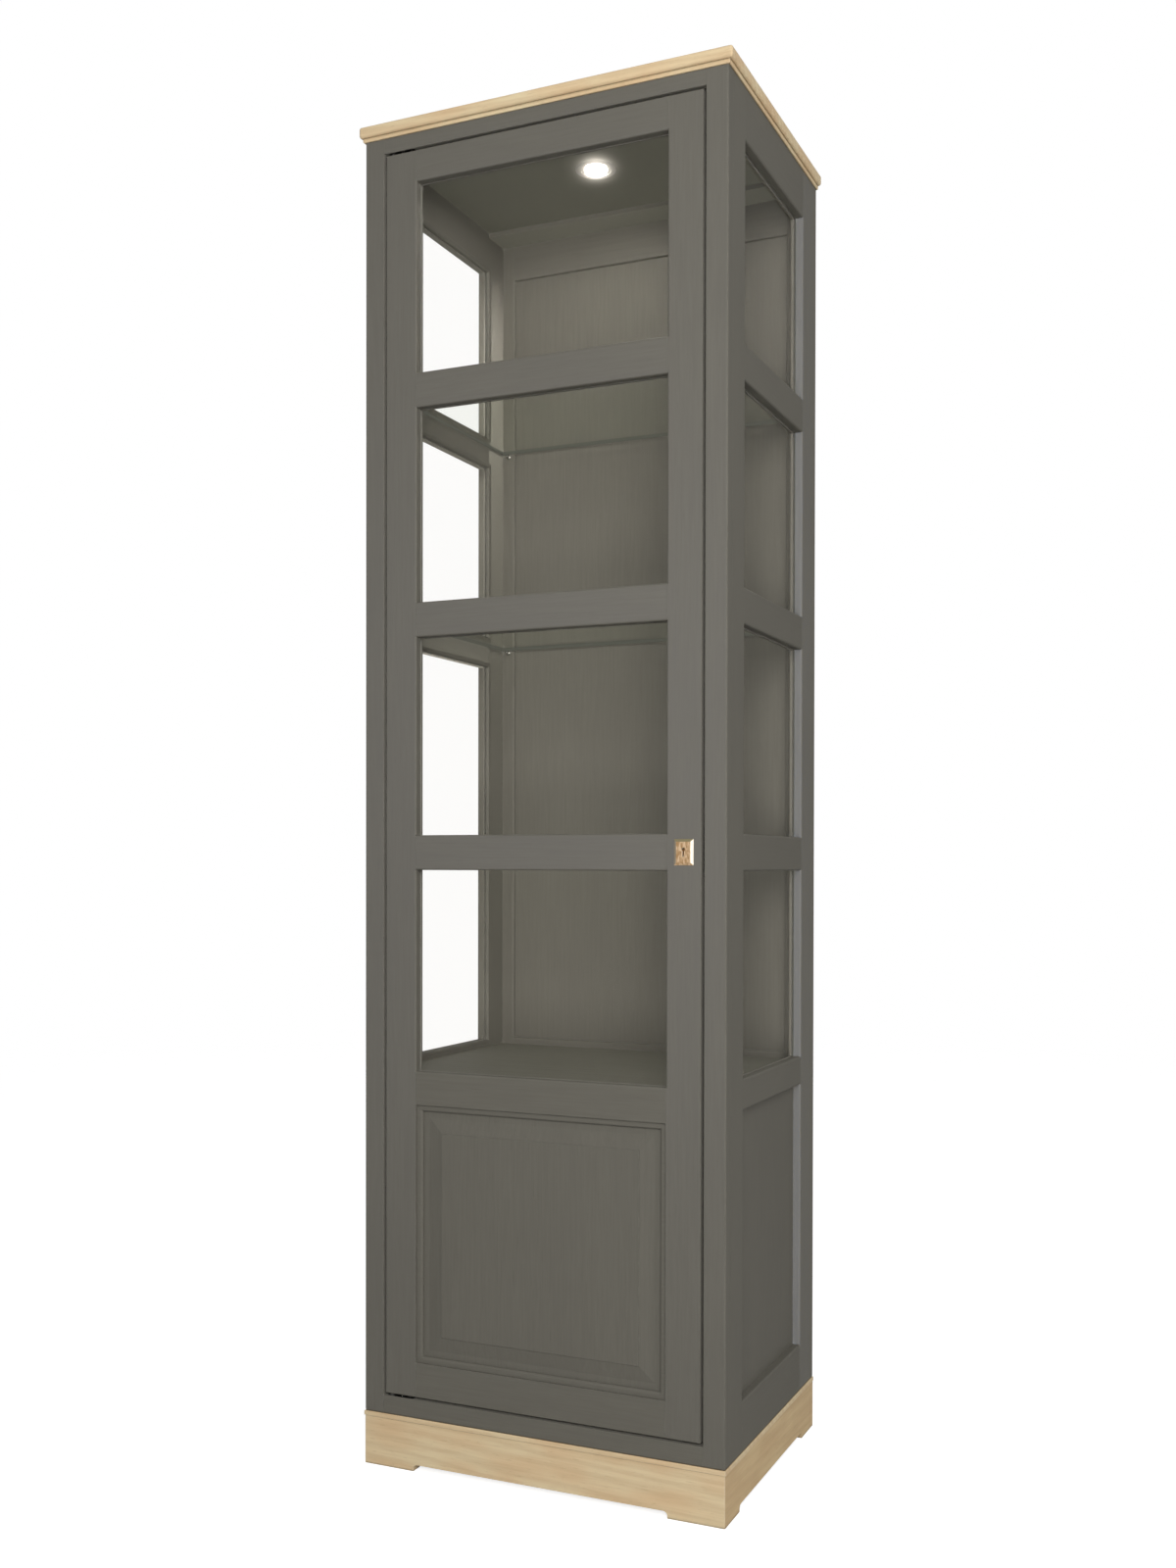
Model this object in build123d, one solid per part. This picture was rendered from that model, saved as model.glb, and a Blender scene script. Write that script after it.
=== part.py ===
from build123d import *
import math
import os

# Tall one-door display cabinet: painted frame-and-panel case, oak top and oak plinth.
# Millimetres. X runs to the right, Y to the back, Z up. The origin is on the floor,
# in the middle of the outline that the top board covers.

# Overall sizes
WIDTH = 600.0
DEPTH = 450.0
HEIGHT = 2100.0

# Oak top
TOP_BOARD = 17.0
TOP_OVERHANG = 8.0
TOP_ROUND = 4.0
UNDERBOARD = 6.0
UNDERBOARD_OVERHANG = 3.0
UNDERBOARD_ROUND = 1.5

# Oak plinth
PLINTH_HEIGHT = 76.0
PLINTH_BOARD = 20.0
PLINTH_EDGE = 1.5
PLINTH_MOULDING = 7.0
PLINTH_MOULDING_WIDTH = 30.0
PLINTH_MOULDING_REACH = 1.0
CUTOUT_HEIGHT = 10.0
CUTOUT_ROUND = 7.0
FOOT_FRONT = 88.0
FOOT_SIDE = 65.0
CORNER_BLOCK = 34.0
CORNER_BLOCK_HEIGHT = 55.0

# Frames of painted wood: face frame, two sides, back and door
FRAME = 22.0
OPENING_ARRIS = 3.0
CASE_EDGE = 2.5
DOOR_EDGE = 1.5
TENON_LENGTH = 8.0
TENON_FROM = 4.0
TENON_THICKNESS = 7.0
TENON_SHOULDER = 8.0
FACE_STILE = 34.0
FACE_TOP_RAIL = 23.0
FACE_BOTTOM_RAIL = 29.0
SIDE_STILE = 55.0
SIDE_END_RAIL = 75.0
SIDE_FLOOR_RAIL = 46.0
SIDE_SILL_RISE = 8.0
BACK_STILE = 45.0

# Door
DOOR_GAP = 4.0
DOOR_STILE = 54.0
DOOR_TOP_RAIL = 48.0
GLAZING_RAIL = 54.0
LOCK_RAIL = 52.0
LOCK_RAIL_TOP = 624.0
BOTTOM_RAIL = 54.0
PANE_ROWS = 4
PANE_STEP = 6.0

# Glazing
LIP = 12.5
REBATE = 8.0
PANE = 4.0
PANE_CLEARANCE = 1.0
BEAD_CHAMFER = 2.0

# Panels in their grooves
GROOVE = 8.0
PANEL_CLEARANCE = 1.0
SIDE_PANEL = 6.0
SIDE_PANEL_INSET = 3.5
BACK_PANEL = 6.0
BACK_PANEL_INSET = 6.0
DOOR_TONGUE = 6.0
DOOR_TONGUE_FROM = 9.0
DOOR_FIELD_FROM = 4.0
FIELD_STEP = 1.0
FIELD_MARGIN = 20.0
FIELD_SLOPE = 23.0
PANEL_MOULDING = 10.0
PANEL_MOULDING_FROM = 3.5
PANEL_MOULDING_ROUND = 4.0

# Boards inside
BOARD = 18.0
DADO = 5.0
FLOOR_DROP = 4.0
FLOOR_SETBACK = 5.0
CEILING = 6.0
CEILING_RAIL = 55.0
CEILING_RAIL_DROP = 8.0
STOP_THICKNESS = 12.0
STOP_LAP = 6.0
STOP_END = 60.0

# Glass shelves on metal supports
SHELF = 8.0
SHELF_SEAT = 34.0
SHELF_EDGE = 0.8
SHELF_END_GAP = 2.0
SHELF_FRONT_SETBACK = 10.0
SHELF_BACK_GAP = 4.0
SUPPORT_RADIUS = 2.5
SUPPORT_DEPTH = 8.0
SUPPORT_REACH = 12.0
SUPPORT_COLLAR_RADIUS = 4.5
SUPPORT_COLLAR = 1.5
SUPPORT_FIT = 0.03

# Ceiling lamp, its driver and the grommet for its lead
LAMP_FROM_FRONT = 215.0
LAMP_RADIUS = 27.0
LAMP_HEIGHT = 13.0
LAMP_WALL = 1.5
LAMP_FIT = 0.5
BEZEL_RADIUS = 33.0
BEZEL_BORE = 24.5
BEZEL = 3.0
LENS_RADIUS = 25.5
LENS_GAP = 0.2
LENS = 2.0
DRIVER_LENGTH = 120.0
DRIVER_WIDTH = 45.0
DRIVER_HEIGHT = 20.0
DRIVER_EDGE = 2.0
DRIVER_FROM_BACK = 30.0
GROMMET_RADIUS = 10.0
GROMMET_FLANGE_RADIUS = 13.0
GROMMET_FLANGE = 2.0
GROMMET_WALL = 1.5
GROMMET_FROM_SIDE = 120.0
GROMMET_HEIGHT = 220.0

# Pivot hinges let into the door's ends
PIVOT_SETBACK = 8.0
PIVOT_RADIUS = 3.0
PIVOT_FIT = 0.05
PIVOT_REACH = 8.0
PIVOT_END_GAP = 4.0
PIVOT_BORE_CLEARANCE = 0.5
PIVOT_COLLAR_RADIUS = 6.0
LEAF = 2.5
LEAF_LENGTH = 46.0
LEAF_WIDTH = 12.0
LEAF_BEHIND = 6.0
LEAF_SCREWS = (18.0, 32.0)

# Lock, with its key drum, bolt and strike
CASE_HEIGHT = 50.0
CASE_DEPTH = 15.0
CASE_WALL = 1.2
CASE_END_GAP = 1.5
COVER = 1.2
COVER_MARGIN = 9.0
FACEPLATE = 2.0
FACEPLATE_WIDTH = 12.0
FACEPLATE_HEIGHT = 64.0
DRUM_RADIUS = 4.5
DRUM_FIT = 0.05
DRUM_SETBACK = 1.0
DRUM_BORE_CLEARANCE = 0.5
DRUM_FLANGE = 2.0
DRUM_FLANGE_RIM = 0.4
CRANK_RADIUS = 7.1
CRANK_PIN = 1.5
KEY_TURN = 90.0
KEY_SLOT = 2.4
KEY_SLOT_HEIGHT = 6.6
KEY_SLOT_DEPTH = 7.0
LAYER_GAP = 0.6
BOLT = 6.0
BOLT_HEAD = 10.0
BOLT_RIM = 3.7
BOLT_LOW = 4.5
BOLT_RIGHT = 9.0
BOLT_CLEARANCE = 0.5
BOLT_SLOT_CLEARANCE = 0.7
STRIKE = 1.5
STRIKE_HEIGHT = 44.0
STRIKE_END_GAP = 2.0
STRIKE_SCREW_MARGIN = 6.0

# Keyhole plate
PLATE_WIDTH = 30.0
PLATE_HEIGHT = 38.0
PLATE = 2.5
PLATE_BEVEL = 4.0
KEYHOLE_RADIUS = 2.6
KEYHOLE_SLOT = 2.6
KEYHOLE_RISE = 3.7
KEYHOLE_DROP = 6.3

# Countersunk wood screws
SCREW_LENGTH = 14.0
SCREW_RADIUS = 1.5
SCREW_HEAD_RADIUS = 3.0
SCREW_HEAD = 1.5
SCREW_FIT = 0.05
SCREW_SLOT = 0.8
SCREW_SLOT_LENGTH = 4.5

# How far a cut runs past the face that it opens
OVER = 1.0

UP = (0, 0, 1)
DOWN = (0, 0, -1)
BACKWARDS = (0, 1, 0)
FORWARDS = (0, -1, 0)
RIGHTWARDS = (1, 0, 0)

# The case, worked out from the sizes
half_width = WIDTH / 2
front = TOP_OVERHANG - (DEPTH + TOP_OVERHANG) / 2
back = front + DEPTH
case_low = PLINTH_HEIGHT + PLINTH_MOULDING
case_high = HEIGHT - TOP_BOARD - UNDERBOARD
inner_half = half_width - FRAME
inner_front = front + FRAME
inner_back = back - FRAME
doorway_half = half_width - FACE_STILE
doorway_low = case_low + FACE_BOTTOM_RAIL
doorway_high = case_high - FACE_TOP_RAIL
back_half = half_width - BACK_STILE
back_panel_from = FRAME - BACK_PANEL_INSET - BACK_PANEL
side_panel_from = FRAME - SIDE_PANEL_INSET - SIDE_PANEL
floor_top = LOCK_RAIL_TOP - FLOOR_DROP
side_sill = LOCK_RAIL_TOP + SIDE_SILL_RISE
ceiling_low = case_high - CEILING
lamp_y = front + LAMP_FROM_FRONT

# The door
door_half = doorway_half - DOOR_GAP
door_low = doorway_low + DOOR_GAP
door_high = doorway_high - DOOR_GAP
sight_half = door_half - DOOR_STILE
sight_high = door_high - DOOR_TOP_RAIL
pivot_x = -door_half + PIVOT_SETBACK
pivot_y = front + PIVOT_SETBACK


def pane_rows():
    """Bottom and top of each glazed opening, from the shortest at the top downwards."""
    glazed = sight_high - LOCK_RAIL_TOP - (PANE_ROWS - 1) * GLAZING_RAIL
    shortest = (glazed - PANE_STEP * sum(range(PANE_ROWS))) / PANE_ROWS
    rows = []
    high = sight_high
    for row in range(PANE_ROWS):
        low = high - shortest - row * PANE_STEP
        rows.append((low, high))
        high = low - GLAZING_RAIL
    return rows


door_rows = pane_rows()
glazing_rails = [(low - GLAZING_RAIL, low) for low, high in door_rows[:-1]]
shelf_seats = [low + SHELF_SEAT for low, high in glazing_rails]

# Openings of the door, the sides and the back, each with its left, right, bottom and top
side_inner = (inner_front + SIDE_STILE, inner_back - SIDE_STILE)
side_rows = door_rows[:-1] + [(side_sill, door_rows[-1][1])]
lower_panel = (case_low + SIDE_END_RAIL, side_sill - SIDE_FLOOR_RAIL)
door_openings = [(-sight_half, sight_half, *row) for row in door_rows]
door_panel_opening = (-sight_half, sight_half, door_low + BOTTOM_RAIL, LOCK_RAIL_TOP - LOCK_RAIL)
side_openings = [(*side_inner, *row) for row in side_rows]
side_panel_opening = (*side_inner, *lower_panel)
back_openings = [(-back_half, back_half, *lower_panel), (-back_half, back_half, side_sill, sight_high)]

# The lock, measured from the keyhole's axis and from the door's front face
keyhole_x = door_half - DOOR_STILE / 2
keyhole_z = sum(glazing_rails[-1]) / 2
door_edge = door_half - keyhole_x
bolt_throw = 2 * CRANK_RADIUS * math.sin(math.radians(KEY_TURN / 2))
crank_x = -bolt_throw / 2
crank_z = CRANK_RADIUS * math.cos(math.radians(KEY_TURN / 2))
crank_room = CRANK_PIN + BOLT_SLOT_CLEARANCE
case_from = FRAME - CASE_DEPTH
cover_from = FRAME - COVER
flange_from = case_from + CASE_WALL + LAYER_GAP
bolt_from = flange_from + DRUM_FLANGE + LAYER_GAP
bolt_to = bolt_from + BOLT
bolt_middle = (bolt_from + bolt_to) / 2
bolt_left = -bolt_throw / 2 - crank_room - BOLT_RIM
bolt_tip = door_edge - BOLT_CLEARANCE
case_left = bolt_left - CASE_END_GAP - CASE_WALL
case_right = door_edge - FACEPLATE


# Helpers for solids

def span(x0, x1, y0, y1, z0, z1):
    """A block between two opposite corners."""
    middle = Pos((x0 + x1) / 2, (y0 + y1) / 2, (z0 + z1) / 2)
    return middle * Box(x1 - x0, y1 - y0, z1 - z0)


def rod(radius, start, direction, length):
    """A round rod from a point, along a direction."""
    return Plane(origin=start, z_dir=direction) * extrude(Circle(radius), length)


def cut(shape, tools):
    """A shape with each of the tools taken away."""
    for tool in tools:
        shape -= tool
    return shape


def group(shapes):
    """The solids of several shapes, kept apart in one compound."""
    return Compound(children=[solid for shape in shapes for solid in shape.solids()])


def edges_between(shape, low, high):
    """The shape's edges whose middles lie in the block from low to high."""
    chosen = []
    for edge in shape.edges():
        point = edge.center()
        inside = [a <= value <= b for a, value, b in zip(low, (point.X, point.Y, point.Z), high)]
        if all(inside):
            chosen.append(edge)
    return chosen


def upright_edges(shape, x, y):
    """The shape's upright edges at two opposite places, (x, y) and (-x, y)."""
    edges = shape.edges().filter_by(Axis.Z)
    return [edge for edge in edges
            if abs(abs(edge.center().X) - x) < OVER and abs(edge.center().Y - y) < OVER]


def mitred(ring, plane, x0, x1, y0, y1, width):
    """Part a rectangular ring that lies along a plane into four strips with mitred ends."""
    outlines = (
        ((x0, y0), (x1, y0), (x1 - width, y0 + width), (x0 + width, y0 + width)),
        ((x0, y1), (x1, y1), (x1 - width, y1 - width), (x0 + width, y1 - width)),
        ((x0, y0), (x0, y1), (x0 + width, y1 - width), (x0 + width, y0 + width)),
        ((x1, y0), (x1, y1), (x1 - width, y1 - width), (x1 - width, y0 + width)),
    )
    strips = []
    for corners in outlines:
        outline = plane * make_face(Polyline(*corners, close=True))
        strips.append(ring & extrude(outline, HEIGHT, both=True))
    return strips


def screw(head, direction, clearance=0.0):
    """A countersunk screw, with the top of its head at a point, driven along a direction."""
    cone = Cone(SCREW_HEAD_RADIUS + clearance, SCREW_RADIUS + clearance, SCREW_HEAD)
    body = Pos(0, 0, SCREW_HEAD / 2) * cone
    body += extrude(Circle(SCREW_RADIUS + clearance), SCREW_LENGTH + clearance)
    if not clearance:
        body -= Box(SCREW_SLOT_LENGTH, SCREW_SLOT, 2 * SCREW_SLOT)
    return Plane(origin=head, z_dir=direction) * body


def screw_holes(places):
    """The holes for the screws at the given places."""
    return [screw(head, direction, SCREW_FIT) for head, direction in places]


# Frames start in their own system: X along the frame, Y from its outer face inwards.

def at_front(shape):
    """From a frame's own system to the cabinet's front."""
    return Pos(0, front, 0) * shape


def at_right(shape):
    """From a frame's own system to the cabinet's right side, with X turned to the back."""
    return Pos(half_width, 0, 0) * Rot(0, 0, 90) * shape


def at_left(shape):
    """The mirror image of the right side."""
    return mirror(at_right(shape), about=Plane.YZ)


def at_back(shape):
    """From a frame's own system to the cabinet's back."""
    return Pos(0, back, 0) * Rot(0, 0, 180) * shape


def frame_blank(x0, x1, z0, z1, openings, arris, arris_inside=False):
    """A frame in one piece, with the arrises of its openings rounded on one face."""
    holes = [span(a, b, -OVER, FRAME + OVER, c, d) for a, b, c, d in openings]
    blank = cut(span(x0, x1, 0, FRAME, z0, z1), holes)
    face = blank.faces().sort_by(Axis.Y)[-1 if arris_inside else 0]
    edges = [edge for wire in face.inner_wires() for edge in wire.edges()]
    return fillet(edges, arris)


def round_case_edges(blank):
    """Round the outer corners and the lowest edges of a frame as wide as the case."""
    blank = fillet(upright_edges(blank, half_width, 0), CASE_EDGE)
    low = (-half_width - OVER, -OVER, case_low - OVER)
    high = (half_width + OVER, FRAME - OVER, case_low + OVER)
    return fillet(edges_between(blank, low, high), CASE_EDGE)


def rebates(openings):
    """The rebates for the panes, open to the frame's inner face."""
    return [span(a - REBATE, b + REBATE, LIP, FRAME + OVER, c - REBATE, d + REBATE)
            for a, b, c, d in openings]


def sheet(opening, lap, from_depth, thickness):
    """A flat sheet that fills an opening and laps into the frame round it."""
    a, b, c, d = opening
    return span(a - lap, b + lap, from_depth, from_depth + thickness, c - lap, d + lap)


def panes(openings):
    """One pane for each opening, behind the lip."""
    return [sheet(opening, REBATE - PANE_CLEARANCE, LIP, PANE) for opening in openings]


def joined_frame(blank, outer, inner, rails):
    """Part a frame into two stiles and its rails, with a stub tenon at each rail's end."""
    x0, x1, z0, z1 = outer
    stiles = [blank & span(a, b, -OVER, FRAME + OVER, z0 - OVER, z1 + OVER)
              for a, b in ((x0 - OVER, inner[0]), (inner[1], x1 + OVER))]
    tenon_to = TENON_FROM + TENON_THICKNESS
    pieces = []
    for low, high in rails:
        tenon_low = low + TENON_SHOULDER
        tenon_high = high - TENON_SHOULDER
        tenons = [span(a, b, TENON_FROM, tenon_to, tenon_low, tenon_high)
                  for a, b in ((inner[0] - TENON_LENGTH, inner[0]), (inner[1], inner[1] + TENON_LENGTH))]
        stiles = [stile - tenon for stile, tenon in zip(stiles, tenons)]
        rail = blank & span(*inner, -OVER, FRAME + OVER, low, high)
        pieces.append(rail + tenons[0] + tenons[1])
    return stiles, pieces


def glazing_beads(openings):
    """Mitred strips that hold the panes, flush with the frame's inner face."""
    bead_from = LIP + PANE
    bevel = min(BEAD_CHAMFER, (FRAME - bead_from) / 2)
    strips = []
    for opening in openings:
        a, b, c, d = opening
        ring = sheet(opening, REBATE, bead_from, FRAME - bead_from)
        ring -= sheet(opening, 0, bead_from - OVER, FRAME)
        face = ring.faces().sort_by(Axis.Y)[-1]
        ring = chamfer(face.inner_wires()[0].edges(), bevel)
        outer = (a - REBATE, b + REBATE, c - REBATE, d + REBATE)
        strips.extend(mitred(ring, Plane.XZ, *outer, REBATE))
    return strips


# Oak top

def lamp_pocket():
    """The round space for the lamp, from the ceiling into the top board."""
    height = OVER + LAMP_HEIGHT + LAMP_FIT
    return rod(LAMP_RADIUS + LAMP_FIT, (0, lamp_y, ceiling_low - OVER), UP, height)


def top_board():
    """The top board, rounded at the front and the sides."""
    reach = half_width + TOP_OVERHANG
    low = HEIGHT - TOP_BOARD
    board = span(-reach, reach, front - TOP_OVERHANG, back, low, HEIGHT)
    edges = edges_between(board, (-reach, front - TOP_OVERHANG, low), (reach, back - OVER, HEIGHT))
    return fillet(edges, TOP_ROUND) - lamp_pocket()


def top_underboard():
    """A thin board under the top board that steps back from its edge."""
    reach = half_width + UNDERBOARD_OVERHANG
    y0 = front - UNDERBOARD_OVERHANG
    board = span(-reach, reach, y0, back, case_high, HEIGHT - TOP_BOARD)
    edges = edges_between(board, (-reach, y0, case_high), (reach, back - OVER, case_high))
    return fillet(edges, UNDERBOARD_ROUND) - lamp_pocket()


# Oak plinth

def foot_cutout(length):
    """A low rectangle along the floor with its two upper corners rounded."""
    block = Box(length, 2 * (WIDTH + DEPTH), 2 * CUTOUT_HEIGHT)
    edges = block.edges().filter_by(Axis.Y).group_by(Axis.Z)[-1]
    return fillet(edges, CUTOUT_ROUND)


def plinth_boards():
    """Front, back and two side boards, cut out between their corner feet."""
    ring = span(-half_width, half_width, front, back, 0, PLINTH_HEIGHT)
    x = half_width - PLINTH_BOARD
    ring -= span(-x, x, front + PLINTH_BOARD, back - PLINTH_BOARD, -OVER, PLINTH_HEIGHT + OVER)
    ring = fillet(upright_edges(ring, half_width, front), PLINTH_EDGE)
    ring -= foot_cutout(WIDTH - 2 * FOOT_FRONT)
    ring -= Pos(0, (front + back) / 2, 0) * Rot(0, 0, 90) * foot_cutout(DEPTH - 2 * FOOT_SIDE)
    return mitred(ring, Plane.XY, -half_width, half_width, front, back, PLINTH_BOARD)


def plinth_moulding():
    """Four mitred strips on the plinth, a little proud of it at the front and the sides."""
    x = half_width + PLINTH_MOULDING_REACH
    y0 = front - PLINTH_MOULDING_REACH
    width = PLINTH_MOULDING_WIDTH
    ring = span(-x, x, y0, back, PLINTH_HEIGHT, case_low)
    ring = fillet(edges_between(ring, (-x, y0, case_low), (x, back - OVER, case_low)), PLINTH_EDGE)
    ring -= span(-x + width, x - width, y0 + width, back - width, 0, HEIGHT)
    return mitred(ring, Plane.XY, -x, x, y0, back, width)


def corner_blocks():
    """Four glued three-cornered blocks inside the plinth's corners."""
    x = half_width - PLINTH_BOARD
    blocks = []
    for side in (-1, 1):
        for y, inward in ((front + PLINTH_BOARD, CORNER_BLOCK), (back - PLINTH_BOARD, -CORNER_BLOCK)):
            corners = ((side * x, y), (side * (x - CORNER_BLOCK), y), (side * x, y + inward))
            outline = make_face(Polyline(*corners, close=True))
            block = extrude(outline, CORNER_BLOCK_HEIGHT, dir=UP)
            blocks.append(Pos(0, 0, PLINTH_HEIGHT - CORNER_BLOCK_HEIGHT) * block)
    return blocks


# The five frames

def face_frame():
    """Two stiles and two rails round the door."""
    doorway = (-doorway_half, doorway_half, doorway_low, doorway_high)
    outer = (-half_width, half_width, case_low, case_high)
    blank = round_case_edges(frame_blank(*outer, [doorway], DOOR_EDGE))
    rails = [(case_low, doorway_low), (doorway_high, case_high)]
    return joined_frame(blank, outer, (-doorway_half, doorway_half), rails)


def side_frame():
    """One side: two stiles and six rails, rebated for panes and housed for the boards."""
    outer = (inner_front, inner_back, case_low, case_high)
    blank = frame_blank(*outer, side_openings + [side_panel_opening], OPENING_ARRIS)
    lowest = edges_between(blank, (front, -OVER, case_low - OVER), (back, OVER, case_low + OVER))
    blank = cut(fillet(lowest, CASE_EDGE), rebates(side_openings))
    blank -= sheet(side_panel_opening, GROOVE, side_panel_from, SIDE_PANEL)
    for start, top in ((inner_front + FLOOR_SETBACK, floor_top), (inner_front, doorway_low)):
        blank -= span(start, back, FRAME - DADO, FRAME + OVER, top - BOARD, top)
    rails = [(case_low, lower_panel[0]), (lower_panel[1], side_sill)]
    rails += glazing_rails + [(sight_high, case_high)]
    return joined_frame(blank, outer, side_inner, rails)


def back_frame():
    """Two stiles and three rails behind the case, grooved for two panels."""
    outer = (-half_width, half_width, case_low, case_high)
    blank = round_case_edges(frame_blank(*outer, back_openings, OPENING_ARRIS, arris_inside=True))
    grooves = [sheet(opening, GROOVE, back_panel_from, BACK_PANEL) for opening in back_openings]
    rails = [(case_low, lower_panel[0]), (lower_panel[1], side_sill), (sight_high, case_high)]
    return joined_frame(cut(blank, grooves), outer, (-back_half, back_half), rails)


def door_frame():
    """Two stiles and six rails, rebated for the panes and grooved for the panel."""
    outer = (-door_half, door_half, door_low, door_high)
    blank = frame_blank(*outer, door_openings, OPENING_ARRIS)
    blank -= sheet(door_panel_opening, 0, -OVER, FRAME + 2 * OVER)
    face = blank.faces().filter_by(Axis.Y).sort_by(Axis.Y)[0]
    blank = fillet(face.outer_wire().edges(), DOOR_EDGE)
    blank = cut(blank, rebates(door_openings))
    blank -= sheet(door_panel_opening, GROOVE, DOOR_TONGUE_FROM, DOOR_TONGUE)
    rails = [(door_low, door_panel_opening[2]), (door_panel_opening[3], LOCK_RAIL_TOP)]
    rails += glazing_rails + [(sight_high, door_high)]
    return joined_frame(blank, outer, (-sight_half, sight_half), rails)


# Panels

def side_panel():
    """The flat panel low in a side."""
    return sheet(side_panel_opening, GROOVE - PANEL_CLEARANCE, side_panel_from, SIDE_PANEL)


def back_panel(opening):
    """A flat panel in the back, below the frame's inner face."""
    return at_back(sheet(opening, GROOVE - PANEL_CLEARANCE, back_panel_from, BACK_PANEL))


def raised_panel():
    """The door's lower panel: a tongue all round, a slope, a small step and a flat field."""
    a, b, c, d = door_panel_opening
    panel = sheet(door_panel_opening, GROOVE - PANEL_CLEARANCE, DOOR_TONGUE_FROM, DOOR_TONGUE)
    field_margin = FIELD_MARGIN + FIELD_SLOPE
    slope_top = DOOR_FIELD_FROM + FIELD_STEP
    outlines = []
    for depth, margin in ((DOOR_TONGUE_FROM, FIELD_MARGIN), (slope_top, field_margin)):
        plane = Plane(origin=(0, depth, (c + d) / 2), x_dir=RIGHTWARDS, z_dir=FORWARDS)
        outlines.append(plane * Rectangle(b - a - 2 * margin, d - c - 2 * margin))
    panel += loft(outlines, ruled=True)
    return panel + sheet(door_panel_opening, -field_margin, DOOR_FIELD_FROM, FIELD_STEP)


def panel_moulding():
    """A rounded moulding round the door's panel, mitred at its corners."""
    ring = sheet(door_panel_opening, 0, PANEL_MOULDING_FROM, DOOR_TONGUE_FROM - PANEL_MOULDING_FROM)
    ring -= sheet(door_panel_opening, -PANEL_MOULDING, 0, FRAME)
    face = ring.faces().sort_by(Axis.Y)[0]
    ring = fillet(face.inner_wires()[0].edges(), PANEL_MOULDING_ROUND)
    return mitred(ring, Plane.XZ, *door_panel_opening, PANEL_MOULDING)


# Boards inside the case

def housed_board(start, top):
    """A board across the case, let into both sides."""
    x = inner_half + DADO
    return span(-x, x, start, inner_back, top - BOARD, top)


def ceiling_panel():
    """The thin ceiling, with a hole for the lamp."""
    panel = span(-inner_half, inner_half, inner_front, inner_back, ceiling_low, case_high)
    return panel - lamp_pocket()


def ceiling_rear_rail():
    """A flat rail across the back of the ceiling."""
    start = inner_back - CEILING_RAIL
    low = ceiling_low - CEILING_RAIL_DROP
    return span(-inner_half, inner_half, start, inner_back, low, ceiling_low)


def door_stop():
    """A strip behind the top rail that the door closes against."""
    x = door_half - STOP_END
    return span(-x, x, inner_front, inner_front + STOP_THICKNESS, door_high - STOP_LAP, ceiling_low)


# Glass shelves and their supports

def shelf(seat):
    """One glass shelf with its edges eased, lying on four supports."""
    x = inner_half - SHELF_END_GAP
    y0 = inner_front + SHELF_FRONT_SETBACK
    glass = span(-x, x, y0, inner_back - SHELF_BACK_GAP, seat, seat + SHELF)
    edges = glass.edges().filter_by(Axis.X) + glass.edges().filter_by(Axis.Y)
    return chamfer(edges, SHELF_EDGE)


def support(seat, direction):
    """A round pin with a collar at the wood's face, and the hole that it stands in."""
    start = Vector(*seat) - Vector(*direction) * SUPPORT_DEPTH
    pin = rod(SUPPORT_RADIUS, start, direction, SUPPORT_DEPTH + SUPPORT_REACH)
    pin += rod(SUPPORT_COLLAR_RADIUS, seat, direction, SUPPORT_COLLAR)
    hole = rod(SUPPORT_RADIUS + SUPPORT_FIT, start, direction, SUPPORT_DEPTH + OVER)
    return pin, hole


def shelf_supports():
    """For each shelf, two pins in the side's front stiles and two in the back's stiles."""
    side_y = inner_front + SIDE_STILE / 2
    back_x = (inner_half + back_half) / 2
    in_sides = []
    in_back = []
    for seat in shelf_seats:
        z = seat - SUPPORT_RADIUS
        for side in (-1, 1):
            in_sides.append(support((side * inner_half, side_y, z), (-side, 0, 0)))
            in_back.append(support((side * back_x, inner_back, z), FORWARDS))
    return in_sides, in_back


# Lamp and its supply

def lamp_housing():
    """A cup sunk in the ceiling, open below."""
    housing = rod(LAMP_RADIUS, (0, lamp_y, ceiling_low), UP, LAMP_HEIGHT)
    depth = OVER + LAMP_HEIGHT - LAMP_WALL
    return housing - rod(LAMP_RADIUS - LAMP_WALL, (0, lamp_y, ceiling_low - OVER), UP, depth)


def lamp_bezel():
    """A ring under the ceiling with a seat for the lens."""
    low = (0, lamp_y, ceiling_low - BEZEL)
    ring = rod(BEZEL_RADIUS, low, UP, BEZEL)
    ring = fillet(ring.edges().sort_by(Axis.Z)[0], BEZEL / 2)
    ring -= rod(BEZEL_BORE, low, UP, BEZEL)
    return ring - rod(LENS_RADIUS, (0, lamp_y, ceiling_low - LENS), UP, LENS)


def lamp_lens():
    """The disc that closes the lamp."""
    return rod(LENS_RADIUS - LENS_GAP, (0, lamp_y, ceiling_low - LENS), UP, LENS)


def lamp_driver():
    """A closed box under the vitrine's floor, near the back."""
    x = DRIVER_LENGTH / 2
    y1 = inner_back - DRIVER_FROM_BACK
    y0 = y1 - DRIVER_WIDTH
    top = floor_top - BOARD
    low = top - DRIVER_HEIGHT
    box = span(-x, x, y0, y1, low, top)
    return fillet(edges_between(box, (-x, y0, low), (x, y1, top - OVER)), DRIVER_EDGE)


grommet_x = -half_width + GROMMET_FROM_SIDE
grommet_from = back - back_panel_from - BACK_PANEL


def grommet_hole():
    """The hole in the lower back panel for the lead."""
    start = (grommet_x, grommet_from - OVER, GROMMET_HEIGHT)
    return rod(GROMMET_RADIUS, start, BACKWARDS, BACK_PANEL + 2 * OVER)


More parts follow.
